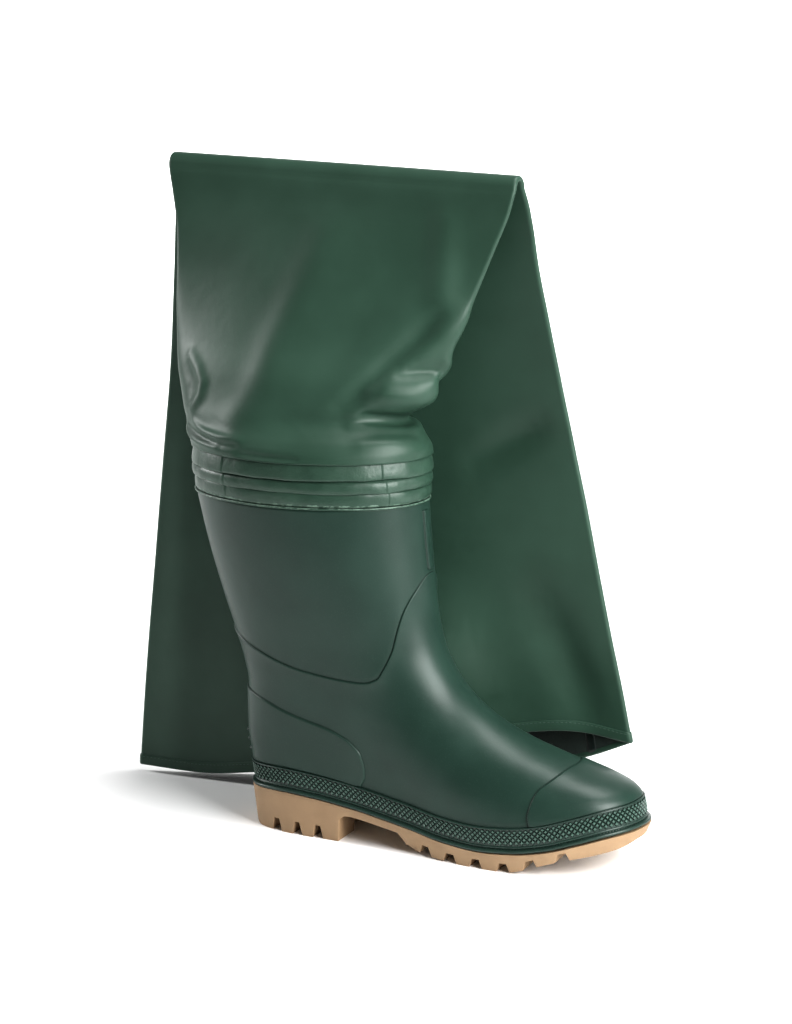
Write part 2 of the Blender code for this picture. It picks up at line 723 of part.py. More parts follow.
def bay_cutter():
    bm = bmesh.new()
    bmesh.ops.create_cone(bm, segments=20, radius1=12.0, radius2=12.0, depth=24.0, cap_ends=True)
    bmesh.ops.translate(bm, verts=bm.verts, vec=(HEEL_BREAST + 3.0, 4.0, 6.0))
    return helper("bay_cutter", bm)


def outsole():
    body = outsole_body()
    for cutter in (tread_cutter(), channel_cutter(), bay_cutter()):
        cut = body.modifiers.new(cutter.name, "BOOLEAN")
        cut.operation = "DIFFERENCE"
        cut.solver = "EXACT"
        cut.object = cutter


def insole():
    """A foam footbed on the sole's top, inside the upper's wall."""
    thickness, clear = 3.0, BOOT_WALL + 0.9
    stations = even(0.012, 0.488, 24)

    def corner(turn, spot):
        side, level = spot
        other = turn if side == "outer" else 1.0 - turn
        point = sole_edge_point(other, 2.0, -clear)
        top = curve(SOLE_TOP, "height", place_of(turn))
        return Vector((point.x, point.y, top + 0.5 + thickness * level))

    loop = [("outer", 0.0), ("outer", 1.0), ("inner", 1.0), ("inner", 0.0), ("outer", 0.0)]
    bm = draped_grid(corner, stations, loop, round_profile=True)
    close_ends(bm)
    to_object("insole", bm, INSOLE_FINISH)


def pleated_cuff():
    rise_per_mm = 1.0 / (COLLAR_HEIGHT - BOOT_ROWS[-2].back_z)

    def point(turn, row):
        if row.height < 0:
            return boot_point(turn, LAST_RISE + row.height * rise_per_mm, row.reach)
        return collar_ring(turn, row.height, row.reach)

    bm = draped_grid(point, boot_turns(), CUFF_ROWS, round_leg=True)
    obj = to_object("pleated_cuff", bm, CLOTH_FINISH)
    thicken(obj, CLOTH_WALL, outwards=False)


def shaft_turns():
    """Stations round the shaft: close together at its two edges, even along its two layers."""
    angles = [0.0, 7.0] + even(TIP_ARC, 180.0 - TIP_ARC, 11) + [173.0]
    turns = [angle / 360.0 for angle in angles]
    return turns + [0.5] + [1.0 - turn for turn in reversed(turns[1:])] + [1.0]


def shaft_alongs():
    rising = [row.along for row in SHAFT_ROWS if row.along < FOLD_START]
    falling = [row.along for row in SHAFT_ROWS if row.along > FOLD_END]
    return rising + even(FOLD_START, FOLD_END, 6) + falling


def thigh_shaft():
    bm = draped_grid(shaft_point, shaft_turns(), shaft_alongs(), round_leg=True)
    obj = to_object("thigh_shaft", bm, CLOTH_FINISH)
    thicken(obj, CLOTH_WALL, outwards=False)


def mouth_hem():
    """The doubled edge of the mouth, on the outside of the thigh shaft."""
    drop = SHAFT_ROWS[-2].z - SHAFT_ROWS[-1].z
    start = MOUTH_ALONG - HEM_HEIGHT / drop

    def point(turn, along):
        return shaft_point(turn, along, GAP + HEM_WALL)

    bm = draped_grid(point, shaft_turns(), (start, MOUTH_ALONG), round_leg=True)
    obj = to_object("mouth_hem", bm, CLOTH_FINISH)
    thicken(obj, HEM_WALL, outwards=False)


clear_scene()
outsole()
insole()
foxing_band()
boot_upper()
collar_bead()
pleated_cuff()
thigh_shaft()
toe_cap()
heel_counter()
heel_spur_ribs()
shin_rib()
mouth_hem()
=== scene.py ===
"""The looks of a hip wader for the right foot: a moulded boot, and a thigh shaft of coated cloth folded over.

+X points to the toe, +Y to the inner side of the foot and +Z up. Sizes and tables are in millimetres,
measured along the foot from the back of the sole, and each mesh is turned into metres in the model's own
frame when it is made. Round the leg a place is a turn: 0 at the back, 0.25 on the outer side, 0.5 at the
front.
"""

import math
from collections import namedtuple

import bmesh
import bpy
import numpy as np
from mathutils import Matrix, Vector


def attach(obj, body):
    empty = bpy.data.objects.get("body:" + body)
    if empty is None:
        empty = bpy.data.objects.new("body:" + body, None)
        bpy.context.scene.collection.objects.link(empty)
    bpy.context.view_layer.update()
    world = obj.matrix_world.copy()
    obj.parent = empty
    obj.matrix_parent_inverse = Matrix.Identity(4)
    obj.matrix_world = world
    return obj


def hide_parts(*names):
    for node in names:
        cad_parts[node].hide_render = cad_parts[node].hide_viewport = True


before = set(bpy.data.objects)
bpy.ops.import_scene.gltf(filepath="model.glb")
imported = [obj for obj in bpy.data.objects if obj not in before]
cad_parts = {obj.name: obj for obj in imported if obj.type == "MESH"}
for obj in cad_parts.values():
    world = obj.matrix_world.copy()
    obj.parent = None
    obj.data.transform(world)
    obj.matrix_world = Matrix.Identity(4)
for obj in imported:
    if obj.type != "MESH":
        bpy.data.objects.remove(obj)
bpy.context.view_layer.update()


def table(columns, *rows):
    """Rows of values whose columns go by name."""
    Row = namedtuple("Row", columns)
    return [Row(*row) for row in rows]


MM = 0.001
ORIGIN_FROM_HEEL = 20.0

# Forms shared with the solids.
SOLE_LENGTH = 301.0
GAP = 0.3
BOOT_WALL = 2.5
CLOTH_WALL = 0.8
COLLAR_HEIGHT = 247.0

SOLE_ROWS = table(
    "place swing outer inner",
    (0, 0, 70, 70), (0.03, 0, 66, 66), (0.08, 0, 57, 57), (0.15, 0, 49, 48.5), (0.25, 0, 41.8, 39.8),
    (0.35, 0, 38.9, 34.4), (0.45, 0, 40.2, 34.6), (0.55, 0.3, 45.3, 40), (0.65, 1, 51.6, 46.6),
    (0.75, 3, 59, 51.4), (0.85, 5, 67, 55.5), (0.92, 6.5, 73, 58.5), (0.97, 7.5, 79, 64), (1, 8, 82, 67),
)
BALL_OUTER = 50.0
BALL_INNER = 45.0

SOLE_TOP = table(
    "place height",
    (0, 29.6), (0.06, 30.4), (0.126, 31), (0.209, 29.6), (0.289, 26.9), (0.379, 22.9), (0.468, 18.6),
    (0.558, 14.2), (0.648, 12.4), (0.731, 13.8), (0.811, 17.7), (0.88, 23.4), (0.947, 28.6), (1, 31),
)
TREAD = table(
    "along height",
    (0, 6), (4, 2.6), (8, 0.6), (12, 0), (84, 0), (110, 8), (135, 7), (146, 3.4), (158, 1.4), (170, 0.4),
    (180, 0), (215, 0), (227, 2.4), (241, 7.2), (260, 12.6), (277, 16), (292, 19.6), (301, 24),
)
HEEL_BREAST = 81.0
WAIST_FRONT = 136.0

BOOT_ROWS = table(
    "rise back_x back_z front_x front_z outer inner foot bow middle flat",
    (0, 3.9, 29.9, 297.1, 31.3, 46, 41, 1, 1, 0.35, 2.4),
    (1, 1.2, 47.4, 293.5, 48.8, 46, 41, 1, 1, 0.35, 2.4),
    (2, 0.2, 54.5, 288.5, 54.3, 45.6, 40.9, 0.96, 0.92, 0.35, 2.4),
    (3, -1.2, 61.5, 278, 59.4, 44.8, 40.8, 0.86, 0.74, 0.35, 2.4),
    (4, -2.2, 68, 262, 64.8, 43.4, 40.4, 0.7, 0.5, 0.35, 2.4),
    (5, -2.8, 75, 243, 71, 42, 40, 0.52, 0.3, 0.36, 2.4),
    (6, -3, 83.5, 219.5, 79, 41, 39.8, 0.36, 0.16, 0.37, 2.4),
    (7, -2.9, 94.5, 196.5, 89.5, 40.5, 39.8, 0.22, 0.08, 0.39, 2.4),
    (8, -3.6, 107.5, 176, 103.5, 40.8, 40.4, 0.12, 0.03, 0.42, 2.3),
    (9, -6.6, 122, 160, 120.5, 42, 41.8, 0.05, 0, 0.45, 2.3),
    (10, -12.6, 142.5, 148, 143, 45, 45, 0, 0, 0.47, 2.2),
    (11, -20.9, 167.5, 141.5, 170, 50, 50, 0, 0, 0.49, 2.1),
    (12, -28, 190, 138.6, 193.5, 54.1, 54.1, 0, 0, 0.5, 2),
    (13, -34.8, 215.5, 135.8, 217.5, 57.8, 57.8, 0, 0, 0.5, 2),
    (14, -41.8, COLLAR_HEIGHT, 133.2, COLLAR_HEIGHT, 61.3, 61.3, 0, 0, 0.5, 2),
)
LAST_RISE = float(BOOT_ROWS[-1].rise)
FOXING_HEIGHT = 17.5

PANEL_SEAM = table(
    "turn rise",
    (0, 10.3), (0.08, 10), (0.14, 9.7), (0.22, 9.2), (0.3, 9), (0.325, 9.15), (0.345, 9.5), (0.37, 10),
    (0.395, 10.65), (0.42, 11.25), (0.45, 11.75), (0.475, 12.02), (0.49, 12.09), (0.5, 12.1),
)

# The outlines of the heel counter and of the toe cap on the outer side, from foxing to middle line.
COUNTER_LINE = table(
    "step turn rise",
    (0, 0.197, 1), (1, 0.2065, 2.5), (2, 0.2165, 4), (3, 0.2225, 5.05), (3.6, 0.2215, 5.65),
    (4.2, 0.215, 6.05), (5, 0.205, 6.32), (6, 0.18, 6.62), (7, 0.15, 6.95), (8, 0.12, 7.28),
    (9, 0.06, 7.55), (9.5, 0.03, 7.6), (10, 0, 7.61),
)
TOE_LINE = table(
    "step turn rise",
    (0, 0.347, 1), (1, 0.35, 1.9), (2, 0.362, 2.8), (3, 0.38, 3.5), (4, 0.4, 3.9), (5, 0.45, 4.55),
    (5.5, 0.475, 4.68), (6, 0.5, 4.7),
)

FOLD_Y = 36.0
FOLD_Z = 467.0
FOLD_RADIUS = 7.4
FOLD_HALF = 2.4
SHAFT_ROWS = table(
    "along y z rear front outer inner round rear_lean front_lean tilt",
    (0, 0, 278, -45, 136, 64, 64, 1, 0, 0, 0),
    (0.5, 0, 283, -46.6, 135.6, 63, 61.8, 1, 0, 0, 0),
    (1, 0, 290, -49, 132, 59.2, 55.6, 1, 0, 0, 0),
    (1.7, 0.5, 296.5, -51.2, 125.5, 55, 50, 0.95, 0, 0, 0),
    (2.2, 1, 303.5, -54, 118.5, 51.5, 45.5, 0.92, 0, 0, 0),
    (2.8, 1.5, 314.5, -57, 133, 48, 41, 0.88, 0, 0, 0),
    (3.4, 2, 329, -60.5, 144.5, 43.5, 35.5, 0.8, 0, 0, 0),
    (4.4, 6.5, 352, -64.5, 151, 35, 27.5, 0.65, 0, 0, 0),
    (5.4, 11, 376, -67.5, 160, 26.5, 20.5, 0.5, 0, 0, 0.1),
    (6.4, 16, 400, -69.5, 168.5, 19, 14.5, 0.35, 0, 0, 0.25),
    (7.4, 21, 425, -72, 177, 12, 9, 0.2, 0, 0, 0.45),
    (8.4, 25.5, 449, -77.5, 185, 5.5, 4.6, 0.05, 0, 0, 0.8),
    (9, FOLD_Y - FOLD_RADIUS, FOLD_Z, -82, 189, FOLD_HALF, FOLD_HALF, 0, 0, 0, 1),
    (10, FOLD_Y, FOLD_Z, -83, 189, FOLD_HALF, FOLD_HALF, 0, 0, 0, 1),
    (10.6, 48.5, 446, -87.5, 192, 5, 3.6, 0, -1, 1, 0.9),
    (11.5, 56.5, 412, -92, 194, 10, 5, 0, -3, 2, 0.7),
    (12.5, 65, 368, -98, 199.5, 15, 6, 0, -5, 3, 0.5),
    (13.5, 71.5, 322, -103.5, 206.5, 20, 7, 0, -7, 4, 0.3),
    (14.5, 75, 276, -109, 214.5, 24, 7.5, 0, -9, 6, 0.2),
    (15.5, 75.5, 228, -114, 224, 28, 8, 0, -11, 8, 0.1),
    (16.5, 75.5, 178, -119, 233, 31, 8.5, 0, -13, 10, 0),
    (17.5, 75, 128, -124, 242.5, 33.5, 9.5, 0, -15, 12, 0),
    (18.5, 74.5, 82, -128, 251.5, 36, 11, 0, -17, 14, 0),
    (19.5, 74, 40, -131, 259, 38, 12, 0, -19, 15, 0),
)
FOLD_START = 9.0
FOLD_END = 10.0
MOUTH_ALONG = 19.5
TIP_ARC = 12.0
TIP_RADIUS = 2.2
FOLD_TILT = 4.0
MOUTH = table(
    "place outer inner",
    (0, 6, 6), (0.12, 4.5, 5), (0.25, 6.5, 11), (0.5, 17, 34), (0.75, 31, 60), (0.88, 42, 67), (1, 62, 62),
)
SLANT_START = 12.5

# Low relief that the solids leave to this file.

# Across the foot's lip at the panel seam: distance over the seam, height over the boot, and painted shade
# along the seam.
LIP_STEPS = table(
    "distance out groove",
    (-12, 0, 0), (-8, 0.1, 0), (-5, 0.32, 0), (-3, 0.6, 0), (-1.8, 0.82, 0), (-1, 0.92, 0), (-0.5, 0.88, 0),
    (-0.2, 0.66, 0), (-0.02, 0.25, 0.3), (0.08, -0.12, 1), (0.28, -0.16, 1), (0.42, -0.08, 0.4),
    (0.8, 0, 0), (4, 0, 0),
)
# Across the edge of a raised panel: distance inside its outline, height over the boot, and painted shade
# along the edge.
PANEL_STEPS = table(
    "distance out groove",
    (-0.9, -0.08, 0), (-0.6, 0.08, 0.4), (-0.32, 0.1, 1), (-0.06, 0.1, 1), (0.02, 0.4, 0.4),
    (0.12, 0.75, 0), (0.35, 1.08, 0), (0.8, 1.28, 0), (1.8, 1.38, 0), (3.5, 1.4, 0),
)
PANEL_OUT = 1.4
PANEL_LOW = 1.03
PANEL_WALL = 0.6

SPUR_RISES = (1.9, 2.9, 3.9)
SPUR_HALF_TURN = 0.034
SPUR_PROFILE = table(
    "rise reach",
    (-0.3, 0), (-0.26, 0.5), (-0.12, 1.4), (-0.04, 2), (0.04, 2), (0.12, 1.4), (0.26, 0.5), (0.3, 0),
)
# Across the strip up the shin: distance from its middle, height over the boot, and painted shade along its
# edges.
SHIN_PROFILE = table(
    "side out groove",
    (-4.1, 0, 0.4), (-3.9, 0.18, 1), (-3.4, 0.18, 1), (-3.3, 0.8, 0.2), (-3, 1.1, 0), (-1.5, 1.2, 0),
    (1.5, 1.2, 0), (3, 1.1, 0), (3.3, 0.8, 0.2), (3.4, 0.18, 1), (3.9, 0.18, 1), (4.1, 0, 0.4),
)
RIB_WALL = 0.5

# The foxing, from the sole up: height over the sole, and reach from the boot.
BAND_ROWS = table(
    "height reach",
    (0.3, 0.4), (0.3, 3.2), (0.5, 3.75), (1, 3.95), (1.7, 3.95), (2.15, 3.7), (2.35, 3.1), (2.55, 1.5),
    (3, 1.35), (3.3, 1.8), (3.6, 2), (4.2, 2), (4.5, 1.8), (4.7, 1.3), (15.9, 1.3), (16.1, 2), (16.4, 2.35),
    (17, 2.4), (17.4, 2.15), (17.5, 1.6), (17.5, 0.4),
)
STUD_LOW = 4.8
STUD_HIGH = 15.9
STUD_ROWS = 6
STUDS_ROUND = 170
STUD_BASE = 1.15
STUD_REACH = 1.05
STUD_WALL = 0.5
STUD_INSET = 0.42
WELT_TICKS = 300

# The pleats of the cuff: height over the collar, and reach from the collar's outside.
PLEAT_ROWS = table(
    "height reach pleat",
    (-12, -3.6, 0), (-1, -3.3, 0), (0.25, -2.7, 0), (0.35, -1.2, 0), (0.6, -0.1, 0), (1.4, 0.6, 0),
    (3, 1, 0), (6.5, 1.2, 0), (9.6, 0.9, 0), (10.8, 0.2, 0), (11.6, -1.3, 1), (11.2, -0.5, 1),
    (10.6, 0.7, 1), (10.7, 1.5, 1), (11.5, 2, 1), (14, 2.4, 1), (17, 2.1, 1), (19, 1.2, 1), (20.2, -0.9, 2),
    (19.7, 0.2, 2), (19.1, 1.6, 2), (19.3, 2.4, 2), (20.3, 2.8, 2), (23, 2.6, 2), (27, 1.9, 2),
    (30.5, 1.2, 2), (33, 0.2, 2), (36, -2.2, 2),
)
# Where the tape round the pleats ends on the outer side, lowest pleat first.
TAPE_ENDS = table("left right", (0.176, 0.412), (0.174, 0.406), (0.172, 0.399))
TAPE_STEP = 0.3

# Creases of the shaft: half width, how far it stands out, and its path of (turn, height over the floor).
LEG_CREASES = table(
    "half_width out path",
    (4.6, 2, ((0.1, 342), (0.122, 333), (0.134, 324), (0.13, 315), (0.112, 306))),
    (5, -1, ((0.09, 332), (0.104, 324), (0.104, 316))),
    (16, 3, ((0.25, 425), (0.239, 375), (0.233, 353), (0.228, 327), (0.215, 304), (0.19, 292))),
    (18, -2.6, ((0.33, 400), (0.31, 360), (0.3, 330), (0.29, 305))),
    (11, 2.6, ((0.361, 452), (0.378, 419), (0.4, 392), (0.425, 372))),
    (8, -3.2, ((0.41, 376), (0.389, 358), (0.365, 342), (0.345, 328), (0.335, 316))),
    (9, 2.8, ((0.47, 376), (0.44, 365), (0.412, 354), (0.388, 344), (0.372, 333))),
    (6.5, -4.2, ((0.394, 338.5), (0.417, 340.5), (0.45, 340), (0.48, 338.5))),
    (4.8, 0.7, ((0.376, 332), (0.41, 333), (0.45, 332.5), (0.5, 330))),
    (9, 4.6, ((0.366, 325), (0.395, 323), (0.433, 322), (0.5, 320))),
    (4.6, -3.4, ((0.384, 309.5), (0.411, 308), (0.461, 305.5), (0.5, 303))),
    (4, 1.8, ((0.374, 302.5), (0.411, 301.5), (0.461, 299), (0.5, 296.5))),
    (7, 2, ((0.378, 291), (0.411, 291), (0.444, 289), (0.5, 286))),
    (2.6, 1.8, ((0.06, 289), (0.09, 286), (0.125, 284.2), (0.165, 283.5))),
    (2.4, -1.8, ((0.08, 292.5), (0.12, 289), (0.16, 286.4), (0.2, 286))),
    (2.6, 1.6, ((0.11, 297), (0.14, 292), (0.175, 289.6), (0.21, 290))),
    (3, -1.8, ((0.205, 282), (0.245, 281.5), (0.28, 281))),
)
INNER_CREASES = table(
    "half_width out path",
    (5, 2.6, ((0.88, 336), (0.87, 320), (0.88, 302), (0.9, 288))),
    (5, -2.2, ((0.91, 332), (0.9, 316), (0.905, 300))),
    (16, 3, ((0.76, 410), (0.765, 370), (0.775, 330), (0.79, 300))),
    (6, 3.4, ((0.5, 345), (0.56, 338), (0.62, 328), (0.66, 312))),
    (5, -4, ((0.5, 331), (0.57, 322), (0.64, 306))),
    (6.5, 3.4, ((0.5, 296), (0.57, 298), (0.65, 294))),
)
FLAP_NEAR_CREASES = table(
    "half_width out path",
    (34, 16, ((0.708, 135), (0.7, 100), (0.695, 65))),
    (18, -4.4, ((0.622, 145), (0.606, 110), (0.594, 75), (0.588, 50))),
    (11, -3, ((0.66, 262), (0.625, 278), (0.59, 290))),
    (20, -3.5, ((0.84, 300), (0.83, 200), (0.82, 100))),
    (18, 3, ((0.92, 280), (0.91, 180), (0.905, 60))),
)
FLAP_FAR_CREASES = table(
    "half_width out path",
    (20, 4.5, ((0.12, 400), (0.115, 300), (0.105, 180), (0.1, 60))),
    (16, -4.5, ((0.18, 360), (0.175, 240), (0.165, 60))),
    (20, 4, ((0.27, 420), (0.275, 300), (0.28, 160), (0.285, 60))),
    (16, -4, ((0.345, 380), (0.35, 240), (0.36, 90))),
    (14, 3.5, ((0.42, 420), (0.425, 280), (0.43, 110))),
)
HEM_HEIGHT = 8.0
HEM_OUT = 0.7
HEM_PROFILE = table(
    "inside out",
    (HEM_HEIGHT, 0.05), (HEM_HEIGHT - 0.3, 0.5), (HEM_HEIGHT - 0.9, HEM_OUT), (4, HEM_OUT + 0.1),
    (1.2, HEM_OUT), (0.3, 0.55), (-0.4, 0.1), (-0.5, -0.5), (0.2, -CLOTH_WALL - 0.3),
    (1.5, -CLOTH_WALL - 0.4),
)
STITCH_INSIDE = HEM_HEIGHT - 1.8
STITCH_HALVES = (0.95, 0.22, 0.16)
STITCH_PITCH = 3.2

CAMERA_AZIMUTH = 24.5
CAMERA_ELEVATION = 12.0
CAMERA_DISTANCE = 1.9
CAMERA_TARGET = Vector((0.0915, 0.0, 0.2368))
CAMERA_LENS = 94.92
SENSOR = 36.0


def smooth_step(low, high, at):
    share = np.clip((at - low) / (high - low), 0.0, 1.0)
    return share * share * (3 - 2 * share)


SLOPES = {}


def table_column(rows, name):
    """A table's places, the values of one column, and the slopes of the smooth curve through them."""
    key = (id(rows), name)
    if key in SLOPES:
        return SLOPES[key]
    at = np.array([row[0] for row in rows], float)
    value = np.array([getattr(row, name) for row in rows], float)
    width = np.diff(at)
    rise = np.diff(value) / width
    slope = np.concatenate([rise[:1], np.zeros(len(at) - 2), rise[-1:]])
    for i in range(1, len(at) - 1):
        before, after = width[i - 1], width[i]
        left, right = rise[i - 1], rise[i]
        if left * right > 0:
            near_left = (2 * before + after) / (3 * left)
            near_right = (before + 2 * after) / (3 * right)
            slope[i] = (before + after) / (near_left + near_right)
    SLOPES[key] = (at, value, slope)
    return SLOPES[key]


def curve(rows, name, at):
    """One column of a table at any places along it, smooth and without overshoot."""
    start, value, slope = table_column(rows, name)
    at = np.clip(np.asarray(at, float), start[0], start[-1])
    low = np.clip(np.searchsorted(start, at) - 1, 0, len(start) - 2)
    width = start[low + 1] - start[low]
    t = (at - start[low]) / width
    return (
        value[low] * (1 + 2 * t) * (1 - t) ** 2
        + slope[low] * width * t * (1 - t) ** 2
        + value[low + 1] * t * t * (3 - 2 * t)
        + slope[low + 1] * width * t * t * (t - 1)
    )


def row_at(rows, at):
    """A table's row at any places along it."""
    names = rows[0]._fields
    return type(rows[0])(at, *(curve(rows, name, at) for name in names[1:]))


def run_length(points):
    """How far along a line each of its points lies."""
    return np.concatenate([[0], np.cumsum(np.linalg.norm(np.diff(points, axis=0), axis=1))])


def place_of(turn):
    """How far along the foot a turn lies, from 0 at the back to 1 at the front."""
    return (1 - np.cos(2 * np.pi * np.asarray(turn))) / 2


def outer_side(turn):
    return np.mod(turn, 1.0) < 0.5


def sole_half(turn):
    """How far the sole's outline lies from its axis, outer side negative."""
    place = place_of(turn)
    arc = np.abs(np.sin(2 * np.pi * turn))
    swing = curve(SOLE_ROWS, "swing", place)
    outer = swing - curve(SOLE_ROWS, "outer", place) * arc
    inner = swing + curve(SOLE_ROWS, "inner", place) * arc
    return np.where(outer_side(turn), outer, inner)


def sole_dip(place):
    ends = SOLE_TOP[0].height + (SOLE_TOP[-1].height - SOLE_TOP[0].height) * place
    return curve(SOLE_TOP, "height", place) - ends


def boot_skin(turn, rise):
    """Points of the boot's outer surface: turn goes round the foot, rise from sole to collar."""
    turn, rise = np.broadcast_arrays(np.asarray(turn, float), rise)
    row = row_at(BOOT_ROWS, rise)
    place = place_of(turn)
    arc = np.abs(np.sin(2 * np.pi * turn))
    reach = np.where(place < row.middle, row.middle, 1 - row.middle)
    egg = np.sqrt(np.maximum(0.0, 1 - (np.abs(place - row.middle) / reach) ** row.flat))
    foot_outer = curve(SOLE_ROWS, "outer", place) * arc / BALL_OUTER
    foot_inner = curve(SOLE_ROWS, "inner", place) * arc / BALL_INNER
    outer = -row.outer * (row.foot * foot_outer + (1 - row.foot) * egg)
    inner = row.inner * (row.foot * foot_inner + (1 - row.foot) * egg)
    x = row.back_x + (row.front_x - row.back_x) * place
    y = np.where(outer_side(turn), outer, inner) + row.foot * curve(SOLE_ROWS, "swing", place)
    z = row.back_z + (row.front_z - row.back_z) * place + row.bow * sole_dip(place)
    return np.stack([x, y, z], axis=-1)


def unit(vector):
    return vector / np.maximum(np.linalg.norm(vector, axis=-1, keepdims=True), 1e-9)


def directions(skin, turn, along):
    """The two ways a surface runs at its points, and its outward normal."""
    turn_step, along_step = 0.002, 0.02
    across = (skin(turn + turn_step, along) - skin(turn - turn_step, along)) / (2 * turn_step)
    up = (skin(turn, along + along_step) - skin(turn, along - along_step)) / (2 * along_step)
    return across, up, unit(np.cross(across, up))


def pushed_out(skin, turn, along, out):
    """Points of a surface moved out along its normal."""
    turn, along, out = np.broadcast_arrays(np.asarray(turn, float), along, out)
    return skin(turn, along) + directions(skin, turn, along)[2] * out[..., None]


def boot_point(turn, rise, out):
    return pushed_out(boot_skin, turn, rise, out)


def beside(turn, rise, distance):
    """A line on the boot moved over its surface to the left of its way, in millimetres."""
    across, up, normal = directions(boot_skin, turn, rise)
    left = np.cross(normal, unit(np.gradient(boot_skin(turn, rise), axis=0)))
    aa, au, uu = (across * across).sum(-1), (across * up).sum(-1), (up * up).sum(-1)
    la, lu = (left * across).sum(-1), (left * up).sum(-1)
    scale = distance / (aa * uu - au * au)
    return turn + scale * (uu * la - au * lu), rise + scale * (aa * lu - au * la)


def over_line(turn, rise, distance):
    """A line round the boot moved straight up its surface until it runs a distance away."""
    point = boot_skin(turn, rise)
    ring = np.concatenate([point[-2:-1], point, point[1:2]])
    up, normal = directions(boot_skin, turn, rise)[1:]
    left = np.cross(normal, unit(ring[2:] - ring[:-2]))
    return turn, rise + distance / (left * up).sum(-1)


def even_line(rows, count):
    """Turns and rises along a panel's outline on the outer side, evenly spaced over the boot."""
    step = np.linspace(rows[0].step, rows[-1].step, 40 * len(rows))
    turn, rise = curve(rows, "turn", step), curve(rows, "rise", step)
    length = run_length(boot_skin(turn, rise))
    even = np.linspace(0, length[-1], count)
    return np.interp(even, length, turn), np.interp(even, length, rise)


def leg_along(height):
    """How far along the shaft a height over the floor lies on its standing part."""
    rows = [row for row in SHAFT_ROWS if row.along <= FOLD_START]
    return np.interp(height, [row.z for row in rows], [row.along for row in rows])


def flap_along(height):
    """How far along the shaft a height over the floor lies on its hanging part."""
    rows = [row for row in SHAFT_ROWS if row.along >= FOLD_END]
    return np.interp(-np.asarray(height, float), [-row.z for row in rows], [row.along for row in rows])


def shaft_skin(turn, along):
    """Points of the thigh shaft's outer surface: turn goes round the leg, along from hem to mouth."""
    turn, along = np.broadcast_arrays(np.mod(turn, 1.0), along)
    row = row_at(SHAFT_ROWS, along)
    outer = turn < 0.5
    angle = 360.0 * np.where(outer, turn, 1.0 - turn)
    depth = np.where(outer, row.outer, row.inner)
    width = row.front - row.rear
    round_x = width * (1 - np.cos(np.radians(angle))) / 2
    round_d = depth * np.sin(np.radians(angle))
    near_end = np.minimum(angle, 180.0 - angle)
    tip = np.radians(np.minimum(near_end, TIP_ARC) / TIP_ARC * 90.0)
    tip_x = TIP_RADIUS * (1 - np.cos(tip))
    edge = math.cos(math.radians(TIP_ARC))
    share = np.clip((edge - np.cos(np.radians(angle))) / (2 * edge), 0.0, 1.0)
    in_tip = near_end <= TIP_ARC
    flat_x = TIP_RADIUS + (width - 2 * TIP_RADIUS) * share
    flat_x = np.where(in_tip, np.where(angle > 90.0, width - tip_x, tip_x), flat_x)
    flat_d = TIP_RADIUS + (depth - TIP_RADIUS) * np.sin(np.pi * share) ** 1.5
    flat_d = np.where(in_tip, TIP_RADIUS * np.sin(tip), flat_d)
    x = row.rear + row.round * round_x + (1 - row.round) * flat_x
    deep = row.round * round_d + (1 - row.round) * flat_d
    share = (x - row.rear) / width
    deep = np.where(outer, deep, -deep)
    fold = np.radians(180.0 * np.clip(along - FOLD_START, 0.0, 1.0))
    folding = (along >= FOLD_START) & (along <= FOLD_END)
    falling = FOLD_RADIUS * np.maximum(0.0, 1 - (along - FOLD_END) / 0.6)
    y = np.where(folding, FOLD_Y - FOLD_RADIUS * np.cos(fold), row.y)
    y = np.where(along > FOLD_END, row.y + falling, y)
    z = np.where(folding, FOLD_Z + FOLD_RADIUS * np.sin(fold), row.z)
    y = y + row.rear_lean * (1 - share) ** 2 + row.front_lean * share**2
    y = y - deep * np.cos(fold)
    z = z + deep * np.sin(fold) + row.tilt * FOLD_TILT * (1 - 2 * share)
    gone = np.clip((along - SLANT_START) / (MOUTH_ALONG - SLANT_START), 0.0, 1.0)
    mouth = np.where(outer, curve(MOUTH, "outer", share), curve(MOUTH, "inner", share))
    z = z + (mouth - SHAFT_ROWS[-1].z) * gone * gone
    return np.stack([x, y, z], axis=-1)


def crease_out(point, crease, along_of):
    """How far a crease moves points of the shaft outwards."""
    turn, height = np.array(crease.path).T
    step = np.arange(len(turn))
    fine = np.linspace(0, step[-1], 14 * step[-1] + 1)
    path = shaft_skin(np.interp(fine, step, turn), np.interp(fine, step, along_of(height)))
    nearest = np.full(point.shape[:-1], np.inf)
    share = np.zeros(point.shape[:-1])
    for i, spot in enumerate(path):
        gap = ((point - spot) ** 2).sum(-1)
        share = np.where(gap < nearest, i / (len(path) - 1), share)
        nearest = np.minimum(nearest, gap)
    fade = 0.35 + 0.65 * np.sin(np.pi * (share * 0.9 + 0.05)) ** 0.5
    return crease.out * fade * np.exp(-nearest / crease.half_width**2)


